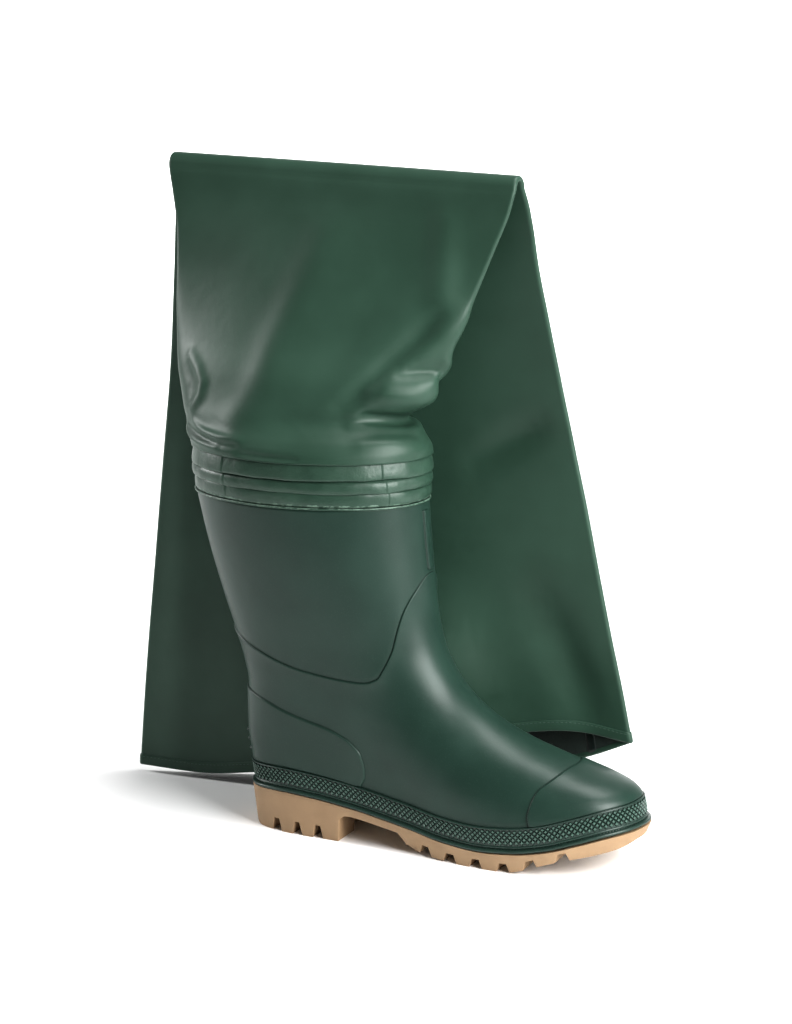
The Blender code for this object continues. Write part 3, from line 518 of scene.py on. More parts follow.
def shaft_relief(turn, along):
    """The height of all the shaft's creases at its points."""
    point = shaft_skin(turn, along)
    around = np.mod(turn, 1.0)
    on_leg = 1 - smooth_step(8.2, 8.9, along)
    on_flap = smooth_step(10.3, 11.2, along)
    outer = (1 - smooth_step(0.505, 0.56, around)) * smooth_step(-0.001, 0.03, around)
    inner = smooth_step(0.44, 0.495, around) * (1 - smooth_step(0.97, 1.001, around))
    off_front = smooth_step(0.0, 0.11, np.abs(around - 0.5))
    off_edges = off_front * smooth_step(0.0, 0.03, np.minimum(around, 1 - around))
    families = (
        (LEG_CREASES, leg_along, on_leg * outer),
        (INNER_CREASES, leg_along, on_leg * inner),
        (FLAP_NEAR_CREASES, flap_along, on_flap * off_edges * (around > 0.5)),
        (FLAP_FAR_CREASES, flap_along, on_flap * off_edges * (around < 0.5)),
    )
    relief = np.zeros(point.shape[:-1])
    for creases, along_of, share in families:
        for crease in creases:
            relief += crease_out(point, crease, along_of) * share
    return relief * smooth_step(-0.1, 0.35, along)


def shaft_point(turn, along, out=0.0):
    turn, along = np.broadcast_arrays(np.asarray(turn, float), along)
    return pushed_out(shaft_skin, turn, along, shaft_relief(turn, along) + out)


def collar_ring(turn, height, reach):
    """Points on an oval round the leg, at a height over the collar and a reach from its outside."""
    turn, height, reach = np.broadcast_arrays(turn, height, reach)
    row = BOOT_ROWS[-1]
    middle = (row.back_x + row.front_x) / 2
    half = (row.front_x - row.back_x) / 2 + reach
    angle = 2 * np.pi * turn
    x = middle - half * np.cos(angle)
    y = -(row.outer + reach) * np.sin(angle)
    return np.stack([x, y, COLLAR_HEIGHT + height], axis=-1)


def waves(turn, counts, seed):
    """A gentle irregular wave round the leg, about -1 to 1."""
    shares = [1 / (1 + 0.6 * i) for i in range(len(counts))]
    total = np.zeros(np.shape(turn))
    for i, count in enumerate(counts):
        total += np.sin(2 * np.pi * (count * turn + 0.37 * seed + 0.61 * i * i)) * shares[i]
    return total / sum(shares)


# How meshes are made.


def laid_grid(points, marks=None, closed=False):
    """A grid laid on an array of points, rows by columns, with marks painted on its points.

    A closed one repeats its first row or column as its last, and they are merged.
    """
    rows, columns = points.shape[:2]
    bm = bmesh.new()
    bmesh.ops.create_grid(bm, x_segments=columns - 1, y_segments=rows - 1, size=1.0)
    layers = [(bm.verts.layers.float.new(name), value) for name, value in (marks or {}).items()]
    surface = bm.loops.layers.uv.new("surface")
    spots = {}
    for vert in bm.verts:
        column = round((vert.co.x + 1) / 2 * (columns - 1))
        row = round((vert.co.y + 1) / 2 * (rows - 1))
        spots[vert] = (row, column)
    for face in bm.faces:
        for loop in face.loops:
            row, column = spots[loop.vert]
            loop[surface].uv = (column / (columns - 1), row / (rows - 1))
    for vert, (row, column) in spots.items():
        vert.co = points[row, column]
        for layer, value in layers:
            vert[layer] = value[row, column]
    if closed:
        bmesh.ops.remove_doubles(bm, verts=bm.verts, dist=1e-3)
    return bm


def add_piece(name, bm, finishes, replaced=(), sharp=None):
    """Puts a mesh drawn in millimetres from the heel into the model's frame, in metres."""
    bmesh.ops.translate(bm, verts=bm.verts, vec=(-ORIGIN_FROM_HEEL, 0, 0))
    bmesh.ops.scale(bm, verts=bm.verts, vec=(MM, MM, MM))
    mesh = bpy.data.meshes.new(name)
    bm.to_mesh(mesh)
    bm.free()
    mesh.shade_smooth()
    if sharp:
        mesh.set_sharp_from_angle(angle=math.radians(sharp))
    for finish in finishes:
        mesh.materials.append(finish)
    piece = add_object(name, mesh)
    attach(piece, "root")
    if replaced:
        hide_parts(*replaced)
    return piece


def give_wall(piece, wall, lining=False):
    """Thickens a skin inwards, with the second finish inside where it has a lining."""
    modifier = piece.modifiers.new("wall", "SOLIDIFY")
    modifier.thickness = wall * MM
    modifier.offset = -1.0
    modifier.use_even_offset = False
    if lining:
        modifier.material_offset = 1
    return piece


def join_into(bm, other):
    """Adds one mesh to another and frees it."""
    mesh = bpy.data.meshes.new("joined")
    other.to_mesh(mesh)
    other.free()
    bm.from_mesh(mesh)
    bpy.data.meshes.remove(mesh)


def boot_grid(lines, closed=False):
    """A grid on the boot from lines of turns, rises, heights over it, and painted shade along its seams."""
    turns, rises, outs, seam_shades = (
        np.array([np.broadcast_to(line[i], np.shape(line[0])) for line in lines]) for i in range(4)
    )
    return laid_grid(boot_point(turns, rises, outs), {"groove": seam_shades}, closed)


# The boot.


def moulded_boot(finish):
    """The foot and leg in one skin, whose rows follow the panel seam so that its lip is crisp."""
    turn = np.linspace(0.0, 1.0, 261)
    seam = curve(PANEL_SEAM, "rise", np.minimum(turn, 1.0 - turn))
    low_rise = over_line(turn, seam, LIP_STEPS[0].distance)[1]
    lines = [(turn, low_rise * share, 0.0, 0.0) for share in np.linspace(0, 1, 84)[:-1]]
    for step in LIP_STEPS:
        lines.append((*over_line(turn, seam, step.distance), step.out, step.groove))
    high_rise = lines[-1][1]
    for share in np.linspace(0, 1, 46)[1:]:
        lines.append((turn, high_rise + (LAST_RISE - high_rise) * share, 0.0, 0.0))
    bm = boot_grid(lines, closed=True)
    return give_wall(add_piece("moulded_boot", bm, [finish], ["boot_upper"]), BOOT_WALL)


def raised_panel(name, line, finish, replaced):
    """A panel standing proud of the boot, inside an outline that starts and ends at the foxing."""
    turn, rise = line
    lines = [(*beside(turn, rise, step.distance), step.out, step.groove) for step in PANEL_STEPS]
    inner_turn, inner_rise = lines[-1][:2]
    foot_turn = np.linspace(inner_turn[0], inner_turn[-1], len(turn))
    for share in np.linspace(0, 1, 30)[1:]:
        middle_turn = inner_turn + (foot_turn - inner_turn) * share
        lines.append((middle_turn, inner_rise + (PANEL_LOW - inner_rise) * share, PANEL_OUT, 0.0))
    bm = boot_grid([(turn, np.maximum(rise, PANEL_LOW), out, groove) for turn, rise, out, groove in lines])
    bmesh.ops.dissolve_degenerate(bm, dist=0.01, edges=bm.edges)
    return give_wall(add_piece(name, bm, [finish], [replaced]), PANEL_WALL)


def heel_counter_panel(finish):
    turn, rise = even_line(COUNTER_LINE, 130)
    line = np.append(turn, -turn[-2::-1]), np.append(rise, rise[-2::-1])
    return raised_panel("counter_panel", line, finish, "heel_counter")


def toe_cap_panel(finish):
    turn, rise = even_line(TOE_LINE, 100)
    line = np.append(1.0 - turn, turn[-2::-1]), np.append(rise, rise[-2::-1])
    return raised_panel("toe_panel", line, finish, "toe_cap")


def spur_ribs(finish):
    """Three short ribs across the back of the heel, against which the other foot pushes the boot off."""
    ribs = bmesh.new()
    across = np.linspace(-1, 1, 41)
    fall = np.sqrt(np.clip(1 - np.abs(across) ** 5, 0.0, 1.0))
    for rise in SPUR_RISES:
        lines = [
            (across * SPUR_HALF_TURN, rise + height * np.maximum(fall, 0.3), PANEL_OUT + reach * fall, 0.0)
            for height, reach in SPUR_PROFILE
        ]
        join_into(ribs, boot_grid(lines))
    replaced = ["heel_spur_rib_1", "heel_spur_rib_2", "heel_spur_rib_3"]
    return give_wall(add_piece("spur_ribs", ribs, [finish], replaced), RIB_WALL)


def shin_strip(finish):
    """The raised strip up the middle of the shin, with a groove along each edge."""
    rises = np.linspace(PANEL_SEAM[-1].rise + 0.12, LAST_RISE - 0.22, 40)
    across = directions(boot_skin, np.full(len(rises), 0.5), rises)[0]
    per_mm = 1 / np.linalg.norm(across, axis=-1)
    lines = [(0.5 + per_mm * side, rises, out, groove) for side, out, groove in SHIN_PROFILE[::-1]]
    piece = add_piece("shin_strip", boot_grid(lines), [finish], ["shin_rib"])
    return give_wall(piece, RIB_WALL)


def collar_edge(finish):
    """The boot's rolled collar, not quite even by hand trimming."""
    turn = np.linspace(0.0, 1.0, 321)
    round_steps = np.linspace(0.0, 2 * np.pi, 13)
    wobble = 0.35 * waves(turn, (3, 7, 13), 1)
    lift = 0.18 * waves(turn, (5, 11, 23), 2)
    heights = np.array([-0.5 + wobble - 0.85 * math.cos(step) for step in round_steps])
    reaches = np.array([0.40 + lift + 0.80 * math.sin(step) for step in round_steps])
    glue = np.array([np.full(len(turn), 0.85 - 0.25 * math.cos(step)) for step in round_steps])
    bm = laid_grid(collar_ring(turn[None, :], heights, reaches), {"glue": glue}, closed=True)
    bmesh.ops.recalc_face_normals(bm, faces=bm.faces)
    return add_piece("collar_edge", bm, [finish], ["collar_bead"])


# The foxing and the sole.


def edge_turns(count):
    """Turns round the boot's lower edge, evenly spaced along its length."""
    turn = np.linspace(0.0, 1.0, 1441)
    length = run_length(band_point(turn, 10.0, 1.5))
    return np.interp(np.linspace(0, length[-1], count + 1), length, turn)


def band_point(turn, height, out):
    """Points by the boot's lower edge: a height over the sole's top, and out from the boot."""
    return boot_point(turn, np.asarray(height) / (FOXING_HEIGHT + GAP), out)


def foxing(finish):
    """The band over the sole: a thin lip, a groove, a plain strip and the ground that carries the studs."""
    turn = edge_turns(340)
    rows = BAND_ROWS + BAND_ROWS[:1]
    heights, reaches = np.array(rows).T[..., None]
    bm = laid_grid(band_point(turn, heights, reaches), closed=True)
    bmesh.ops.recalc_face_normals(bm, faces=bm.faces)
    return add_piece("foxing", bm, [finish], ["foxing_band"], sharp=50)


def foxing_studs(finish):
    """Rows of small diamond studs, made flat and then wrapped round the band."""
    columns = 2 * STUDS_ROUND
    bm = bmesh.new()
    top_highlight = bm.verts.layers.float.new("top_highlight")
    bmesh.ops.create_grid(bm, x_segments=columns, y_segments=STUD_ROWS, size=1.0)
    tops = []
    for vert in bm.verts:
        column = round((vert.co.x + 1) / 2 * columns)
        row = round((vert.co.y + 1) / 2 * STUD_ROWS)
        vert.co = (column, row, 0.0)
        if (column + row) % 2 == 0 and 0 < row < STUD_ROWS and 0 < column < columns:
            tops.append(vert)
    bmesh.ops.poke(bm, faces=bm.faces)
    bmesh.ops.dissolve_verts(bm, verts=tops)
    diamonds = [face for face in bm.faces if len(face.verts) > 4]
    rest = [face for face in bm.faces if len(face.verts) <= 4]
    bmesh.ops.delete(bm, geom=rest, context="FACES")
    bmesh.ops.inset_individual(bm, faces=diamonds, thickness=STUD_INSET, depth=0.0)
    peaks = {vert for face in diamonds for vert in face.verts}
    # The tops are marked for a painted highlight.
    for vert in peaks:
        vert[top_highlight] = 1.0
    column, row, peak = np.array([(vert.co.x, vert.co.y, vert in peaks) for vert in bm.verts]).T
    turn = np.interp(column, np.arange(columns + 1), edge_turns(columns))
    height = STUD_LOW + (STUD_HIGH - STUD_LOW) * row / STUD_ROWS
    out = STUD_BASE + STUD_REACH * peak
    for vert, co in zip(bm.verts, band_point(turn, height, out)):
        vert.co = co
    return give_wall(add_piece("foxing_studs", bm, [finish], sharp=20), STUD_WALL)


def welt_ticks(finish):
    """The short raised ticks along the lip, which look like a welt's stitches."""
    ticks = bmesh.new()
    turn = edge_turns(WELT_TICKS)
    span = turn[1] - turn[0]
    for start in turn[:-1]:
        made = bmesh.ops.create_grid(ticks, x_segments=3, y_segments=2, size=1.0)["verts"]
        x, y = np.array([vert.co.xy for vert in made]).T
        out = np.where((np.abs(x) > 0.9) | (np.abs(y) > 0.9), 1.3, 2.35)
        point = band_point(start + span * (0.5 + x * 0.34), 2.62 + 0.42 * y, out)
        for vert, co in zip(made, point):
            vert.co = co
    return give_wall(add_piece("welt_ticks", ticks, [finish], sharp=50), STUD_WALL)


def on_tread(along):
    """How high the tread lies over the floor."""
    return float(curve(TREAD, "height", along))


NOTCHES = table(
    "start end depth",
    (26.5, 35, 9.6), (44.5, 52.5, 9.6), (61, 69.5, 9.6), (148, 157.5, 6.6), (167.5, 178, 6.6),
    (188, 198, 6.6), (209, 218.5, 6.6), (228, 238, 6.6), (250, 260, 6.6),
)
NOTCH_DRAFT = 2.2
NOTCH_BELOW = 6.0
CUT_LOW = -6.0
CUT_HALF_WIDTH = 80.0
SOLE_DRAFT = 2.4
CHANNEL_HALF_WIDTH = 4.0
CHANNELS = ((157.0, 168.5), (177.5, 189.0), (197.5, 210.0), (218.0, 229.0), (237.5, 251.0))


def sole_block():
    """The sole's whole block, lofted from cross sections from heel to toe."""
    station = np.linspace(0.0, 0.5, 121)
    place = place_of(station)
    along = SOLE_LENGTH * place
    top = curve(SOLE_TOP, "height", place)
    foot = curve(TREAD, "height", along)
    lines = []
    for side, level in zip((0, 0, 0, 1, 1, 1, 0), (0.0, 0.5, 1.0, 1.0, 0.5, 0.0, 0.0)):
        half = sole_half(np.clip(np.abs(side - station), 0.0025, 0.9975))
        inset = SOLE_DRAFT * (1 - level)
        squeeze = 1 - 2 * inset / SOLE_LENGTH
        x = SOLE_LENGTH / 2 + (along - SOLE_LENGTH / 2) * squeeze
        y = half - np.sign(half) * np.minimum(inset, np.abs(half) * 0.5)
        lines.append(np.stack([x, y, foot + (top - foot) * level], axis=-1))
    bm = laid_grid(np.array(lines), closed=True)
    bmesh.ops.holes_fill(bm, edges=[edge for edge in bm.edges if edge.is_boundary], sides=0)
    bmesh.ops.recalc_face_normals(bm, faces=bm.faces)
    return bm


def add_bar(bm, outline, half_width, middle=0.0):
    """A bar across the foot whose side view is an outline of (along, height) corners."""
    face = bm.faces.new([bm.verts.new((x, middle - half_width, z)) for x, z in outline])
    pushed = bmesh.ops.extrude_face_region(bm, geom=[face])["geom"]
    corners = [item for item in pushed if isinstance(item, bmesh.types.BMVert)]
    bmesh.ops.translate(bm, verts=corners, vec=(0, 2 * half_width, 0))


def tread_bars():
    """The waist and the notches between the lugs, as bars to be cut away."""
    bm = bmesh.new()
    waist = [(HEEL_BREAST, CUT_LOW), (HEEL_BREAST + 2.0, 17.0), (HEEL_BREAST + 6.0, 20.0)]
    for along in np.linspace(93.0, 130.0, 9):
        waist.append((along, float(curve(SOLE_TOP, "height", along / SOLE_LENGTH)) - 6.0))
    waist += [(WAIST_FRONT, on_tread(WAIST_FRONT) + 0.8), (WAIST_FRONT + 2.0, CUT_LOW)]
    add_bar(bm, waist, CUT_HALF_WIDTH)
    for start, end, depth in NOTCHES:
        roof = on_tread((start + end) / 2) + depth
        slope = (on_tread(end) - on_tread(start)) / 2
        floor = roof - depth - NOTCH_BELOW
        splay = NOTCH_DRAFT * NOTCH_BELOW / depth
        outline = (
            (start - splay, floor - slope),
            (end + splay, floor + slope),
            (end - NOTCH_DRAFT, roof + slope / 2),
            (start + NOTCH_DRAFT, roof - slope / 2),
        )
        add_bar(bm, outline, CUT_HALF_WIDTH)
    return bm


def channel_bars():
    """The channel along the middle of the lugs."""
    bm = bmesh.new()
    heel_end = HEEL_BREAST + 1.0
    add_bar(bm, [(40.0, CUT_LOW), (heel_end, CUT_LOW), (heel_end, 6.6), (40.0, 6.6)], CHANNEL_HALF_WIDTH)
    for start, end in CHANNELS:
        roof = on_tread((start + end) / 2) + 4.2
        outline = [(start, CUT_LOW), (end, CUT_LOW), (end, roof), (start, roof)]
        add_bar(bm, outline, CHANNEL_HALF_WIDTH, middle=1.0)
    return bm


def breast_bay():
    """The round bay in the front of the heel."""
    bm = bmesh.new()
    bmesh.ops.create_cone(bm, segments=48, radius1=12.0, radius2=12.0, depth=24.0, cap_ends=True)
    bmesh.ops.translate(bm, verts=bm.verts, vec=(HEEL_BREAST + 3.0, 4.0, 6.0))
    return bm


def lugged_sole(finish):
    """The tan sole, cut from its block by bars that are used up in the making."""
    piece = add_piece("lugged_sole", sole_block(), [finish], ["outsole"])
    cutters = []
    for number, bm in enumerate((tread_bars(), channel_bars(), breast_bay())):
        bmesh.ops.recalc_face_normals(bm, faces=bm.faces)
        cutters.append(add_piece(f"sole_cutter_{number}", bm, []))
        cut = piece.modifiers.new("cut", "BOOLEAN")
        cut.operation = "DIFFERENCE"
        cut.solver = "EXACT"
        cut.object = cutters[-1]
    bevel = piece.modifiers.new("rounded", "BEVEL")
    bevel.width = 0.9 * MM
    bevel.segments = 3
    bevel.limit_method = "ANGLE"
    bevel.angle_limit = math.radians(35)
    depsgraph = bpy.context.evaluated_depsgraph_get()
    finished = bpy.data.meshes.new_from_object(piece.evaluated_get(depsgraph))
    piece.modifiers.clear()
    piece.data = finished
    finished.shade_smooth()
    finished.set_sharp_from_angle(angle=math.radians(32))
    for cutter in cutters:
        bpy.data.objects.remove(cutter)


# The cloth.


def cuff_turns():
    """Turns round the cuff, with three at each end of the tape so that its cut edges are crisp."""
    left, right = TAPE_ENDS[0]
    turns = np.linspace(0.0, 1.0, 321)
    turns = turns[np.minimum(np.abs(turns - left), np.abs(turns - right)) > 0.0018]
    close = [left - 0.0007, left, left + 0.0002, right - 0.0002, right, right + 0.0007]
    return np.sort(np.append(turns, close))


def gathered_cuff(finish):
    """Three soft pleats over the collar, each lapping the one below.

    A tape runs round them and ends on the outer side.
    """
    turn = cuff_turns()
    steps = np.arange(len(PLEAT_ROWS))
    fine = np.linspace(0, steps[-1], 3 * steps[-1] + 1)
    heights, reaches, pleats = (np.interp(fine, steps, column) for column in np.array(PLEAT_ROWS).T)
    for column in (heights, reaches):
        for _ in range(2):
            column[1:-1] = (column[:-2] + 2 * column[1:-1] + column[2:]) / 4
    left, right = TAPE_ENDS[0]
    tape = np.where((turn <= left - 0.0001) | (turn >= right + 0.0001), TAPE_STEP, 0.0)
    lines, glue = [], []
    for height, reach, pleat in zip(heights, reaches, np.round(pleats).astype(int)):
        own = TAPE_ENDS[pleat]
        shift = np.interp(turn, [0.12, left, right, 0.47], [0.0, own.left - left, own.right - right, 0.0])
        free = smooth_step(0.0, 4.0, height) * (1 - smooth_step(30.0, 35.0, height))
        wobble = 0.9 * waves(turn, (1, 2, 5, 9), 3 + pleat) + 0.25 * waves(turn, (13, 19), pleat)
        lump = 0.45 * waves(turn, (3, 7, 12), 7 + pleat) + 0.2 * waves(turn, (17, 29), 5 + pleat)
        lines.append(collar_ring(turn + shift, height + wobble * free, reach + (lump + tape) * free))
        glue.append(np.full(len(turn), 0.95 * (1 - smooth_step(0.5, 3.5, abs(height - 1.0)))))
    bm = laid_grid(np.array(lines), {"glue": np.array(glue)}, closed=True)
    return give_wall(add_piece("gathered_cuff", bm, [finish], ["pleated_cuff"]), CLOTH_WALL)


def shaft_turns(count):
    """Turns round the shaft: close together at its two edges, even along its two layers."""
    edge = np.array([0.0, 2.5, 5.0, 8.0])
    layer = np.linspace(TIP_ARC, 180.0 - TIP_ARC, count)
    angles = np.concatenate([edge, layer, 180.0 - edge[::-1]])
    return np.concatenate([angles, 360.0 - angles[-2::-1]]) / 360.0


def shaft_alongs():
    """Stations along the shaft: closest over the creased leg."""
    leg = leg_along(np.linspace(278.0, 352.0, 56))
    thigh = np.linspace(leg[-1], FOLD_START, 36)[1:]
    fold = np.linspace(FOLD_START, FOLD_END, 13)[1:]
    flap = np.linspace(FOLD_END, MOUTH_ALONG, 84)[1:]
    return np.concatenate([leg, thigh, fold, flap])


def thigh_shaft(outside, lining):
    bm = laid_grid(shaft_point(shaft_turns(110), shaft_alongs()[:, None]), closed=True)
    piece = add_piece("shaft_cloth", bm, [outside, lining], ["thigh_shaft"])
    return give_wall(piece, CLOTH_WALL, lining=True)


def mouth_along(turn, inside):
    """How far along the shaft a line lies that runs a distance inside the mouth's edge."""
    step = 0.05
    last = shaft_skin(turn, MOUTH_ALONG) - shaft_skin(turn, MOUTH_ALONG - step)
    return MOUTH_ALONG - inside * step / np.linalg.norm(last, axis=-1)


def mouth_binding(finish):
    """The mouth's turned hem, standing a little proud of the cloth."""
    turn = shaft_turns(110)
    lines = []
    for inside, out in HEM_PROFILE + HEM_PROFILE[:1]:
        line = shaft_point(turn, mouth_along(turn, max(inside, 0.0)), out)
        lines.append(line + np.array((0.0, 0.0, min(inside, 0.0))))
    bm = laid_grid(np.array(lines), closed=True)
    return add_piece("mouth_binding", bm, [finish], ["mouth_hem"])


def hem_stitches(finish):
    """Stitches along the hem's upper edge."""
    stitches = bmesh.new()
    fine = np.linspace(0.0, 1.0, 2401)[:-1]
    length = run_length(shaft_skin(fine, mouth_along(fine, STITCH_INSIDE)))
    count = int(length[-1] / STITCH_PITCH)
    at = (np.arange(count) + 0.5) * length[-1] / count
    middle = np.interp(at, length, fine)
    ahead = middle + STITCH_HALVES[0] * np.interp(at, length[:-1], np.diff(fine) / np.diff(length))
    base, front, over = (
        shaft_point(turn, mouth_along(turn, STITCH_INSIDE), HEM_OUT + out)
        for turn, out in ((middle, 0.1), (ahead, 0.1), (middle, 1.1))
    )
    for start, way, up in zip(base, front - base, unit(over - base)):
        side = unit(np.cross(up, way)) * STITCH_HALVES[1]
        for vert in bmesh.ops.create_cube(stitches, size=2.0)["verts"]:
            x, y, z = vert.co
            taper = 0.55 if z > 0 else 1.0
            vert.co = start + (way * x + side * y) * taper + up * z * STITCH_HALVES[2]
    return add_piece("hem_stitches", stitches, [finish])


def seam_tape(finish):
    """The tape welded over the seam inside the hanging shaft, near its front edge."""
    along = np.linspace(MOUTH_ALONG - 4.0, MOUTH_ALONG - 0.05, 60)
    outs = np.array([0.1, -0.25, -0.3, -0.25, 0.1]) - CLOTH_WALL
    bm = laid_grid(shaft_point(np.linspace(0.400, 0.412, 5), along[:, None], outs))
    bmesh.ops.reverse_faces(bm, faces=bm.faces)
    return give_wall(add_piece("seam_tape", bm, [finish]), 0.2)


# Finishes.


class Wire:
    """A socket of a shader that sums can be written with."""

    def __init__(self, finish, socket):
        self.finish = finish
        self.socket = socket

    def sum(self, operation, first, second):
        return self.finish.node("ShaderNodeMath", {"operation": operation}, {0: first, 1: second})

    def __add__(self, other):
        return self.sum("ADD", self, other)

    def __radd__(self, other):
        return self.sum("ADD", other, self)

    def __mul__(self, other):
        return self.sum("MULTIPLY", self, other)

    def __rmul__(self, other):
        return self.sum("MULTIPLY", other, self)


class Finish:
    """A material and the one way its nodes are made."""

    def __init__(self, name):
        self.material = bpy.data.materials.new(name)
        self.material.use_nodes = True
        self.tree = self.material.node_tree
        self.shader = self.tree.nodes["Principled BSDF"]

    def node(self, kind, settings=None, inputs=None, output=0):
        made = self.tree.nodes.new(kind)
        for name, value in (settings or {}).items():
            setattr(made, name, value)
        for name, value in (inputs or {}).items():
            self.plug(made.inputs[name], value)
        return Wire(self, made.outputs[output])

    def plug(self, socket, value):
        if isinstance(value, Wire):
            self.tree.links.new(value.socket, socket)
        else:
            socket.default_value = value

    def set(self, **inputs):
        for name, value in inputs.items():
            self.plug(self.shader.inputs[name.replace("_", " ")], value)
        return self.material

    def where(self):
        return self.node("ShaderNodeTexCoord", output="Object")

    def mark(self, name):
        return self.node("ShaderNodeAttribute", {"attribute_name": name}, output="Fac")

    def noise(self, where, size_mm, detail=2.0, roughness=0.5, stretch=None):
        """Noise from 0 to 1 whose patches are about a size across, longer one way where asked."""
        if stretch:
            where = self.node("ShaderNodeMapping", inputs={"Vector": where, "Scale": stretch})
        inputs = {"Vector": where, "Scale": 1000.0 / size_mm, "Detail": detail, "Roughness": roughness}
        return self.node("ShaderNodeTexNoise", inputs=inputs)

    def ramp(self, value, low, high):
        """Smoothly from 0 to 1 as a value goes from low to high."""
        settings = {"interpolation_type": "SMOOTHSTEP"}
        return self.node("ShaderNodeMapRange", settings, {"Value": value, "From Min": low, "From Max": high})

    def mix(self, share, first, second):
        """Between two colours."""
        colours = [colour if isinstance(colour, Wire) else (*colour, 1.0) for colour in (first, second)]
        inputs = {0: share, 6: colours[0], 7: colours[1]}
        return self.node("ShaderNodeMix", {"data_type": "RGBA"}, inputs, output=2)

    def bump(self, height, distance_mm, strength=1.0, under=None):
        inputs = {"Height": height, "Distance": distance_mm * MM, "Strength": strength}
        if under:
            inputs["Normal"] = under
        return self.node("ShaderNodeBump", inputs=inputs)


def boot_rubber():
    """Satin green rubber from a mould: cloudy in colour, finely pebbled, darkened by painted shade along its
    seams.
    """
    finish = Finish("boot_rubber")
    where = finish.where()
    cloud = finish.noise(where, 46.0, 3.0)
    speck = finish.noise(where, 1.1, 3.0, 0.65)
    grain = finish.noise(where, 0.55, 2.0)
    swell = finish.noise(where, 26.0, 2.0)
    groove = finish.mark("groove")
    colour = finish.mix(finish.ramp(cloud, 0.3, 0.7), (0.0145, 0.038, 0.028), (0.020, 0.048, 0.036))
    colour = finish.mix(finish.ramp(speck, 0.52, 0.78) * 0.45, colour, (0.036, 0.066, 0.052))
    # Painted shade: a dark line along the seams of the lip, the raised panels and the shin strip.
    colour = finish.mix(groove * 0.5, colour, (0.003, 0.009, 0.007))
    roughness = 0.30 + 0.08 * cloud + 0.10 * speck + 0.2 * groove
    broad = finish.bump(swell, 1.2, 0.25)
    normal = finish.bump(grain * 0.5 + speck * 0.5, 0.08, 0.55, broad)
    return finish.set(Base_Color=colour, Roughness=roughness, Normal=normal, Specular_IOR_Level=0.4)


def two_toned(name, tones, blotch, grain, shine, relief=None):
    """Two tones in blotches, and a finer grain in the shine and, with a relief, on the surface."""
    finish = Finish(name)
    where = finish.where()
    colour = finish.mix(finish.noise(where, *blotch), *tones)
    fine = finish.noise(where, *grain)
    if relief:
        finish.set(Normal=finish.bump(fine, *relief))
    return finish.set(Base_Color=colour, Roughness=shine[0] + shine[1] * fine)


def band_rubber():
    """The foxing's darker, shinier rubber."""
    tones = (0.016, 0.036, 0.028), (0.024, 0.052, 0.040)
    return two_toned("band_rubber", tones, (20.0, 3.0), (0.9, 2.0), (0.26, 0.16), (0.05, 0.5))


def stud_rubber():
    """The studs, with a painted highlight on their tops and painted shade at their feet."""
    finish = Finish("stud_rubber")
    speck = finish.noise(finish.where(), 1.2, 2.0)
    # Painted highlight on the studs' tops; the dark colour of their feet is painted shade.
    top_highlight = finish.ramp(finish.mark("top_highlight"), 0.5, 0.95) * (0.5 + 0.5 * speck)
    ground = finish.mix(speck, (0.008, 0.020, 0.015), (0.012, 0.028, 0.021))
    colour = finish.mix(top_highlight, ground, (0.085, 0.150, 0.122))
    return finish.set(Base_Color=colour, Roughness=0.22 + 0.14 * speck, Normal=finish.bump(speck, 0.05, 0.4))


def tan_rubber():
    """The sole's matt tan rubber, a little blotchy, with fine mould marks."""
    finish = Finish("tan_rubber")
    where = finish.where()
    cloud = finish.noise(where, 24.0, 3.0)
    speck = finish.noise(where, 0.8, 3.0, 0.6)
    streak = finish.noise(where, 9.0, 2.0, 0.5, stretch=(1.0, 1.0, 4.0))
    colour = finish.mix(finish.ramp(cloud, 0.25, 0.75), (0.30, 0.204, 0.120), (0.35, 0.242, 0.145))
    colour = finish.mix(finish.ramp(speck, 0.55, 0.85) * 0.35, colour, (0.25, 0.16, 0.085))
    normal = finish.bump(speck, 0.07, 0.5, finish.bump(streak, 0.5, 0.25))
    return finish.set(Base_Color=colour, Roughness=0.52 + 0.14 * speck, Normal=normal)


def weave_height(finish, where):
    """The faint grain of the cloth's threads under its coating."""
    warp = finish.noise(where, 0.55, 1.0, 0.5, stretch=(1.0, 1.0, 0.25))
    weft = finish.noise(where, 0.55, 1.0, 0.5, stretch=(0.25, 0.25, 1.0))
    return warp * 0.5 + weft * 0.5


def coated_cloth():
    """Green cloth under a smooth coating: soft broad shine, faint weave and small puckers."""
    finish = Finish("coated_cloth")
    where = finish.where()
    cloud = finish.noise(where, 60.0, 3.0)
    pucker = finish.noise(where, 17.0, 2.0)
    speck = finish.noise(where, 1.0, 3.0, 0.6)
    colour = finish.mix(finish.ramp(cloud, 0.3, 0.7), (0.029, 0.066, 0.045), (0.036, 0.079, 0.055))
    colour = finish.mix(finish.ramp(speck, 0.55, 0.8) * 0.3, colour, (0.038, 0.078, 0.056))
    roughness = 0.37 + 0.10 * cloud + 0.06 * speck
    broad = finish.bump(pucker, 1.0, 0.2)
    normal = finish.bump(weave_height(finish, where), 0.06, 0.5, broad)
    return finish.set(Base_Color=colour, Roughness=roughness, Normal=normal, Specular_IOR_Level=0.38)


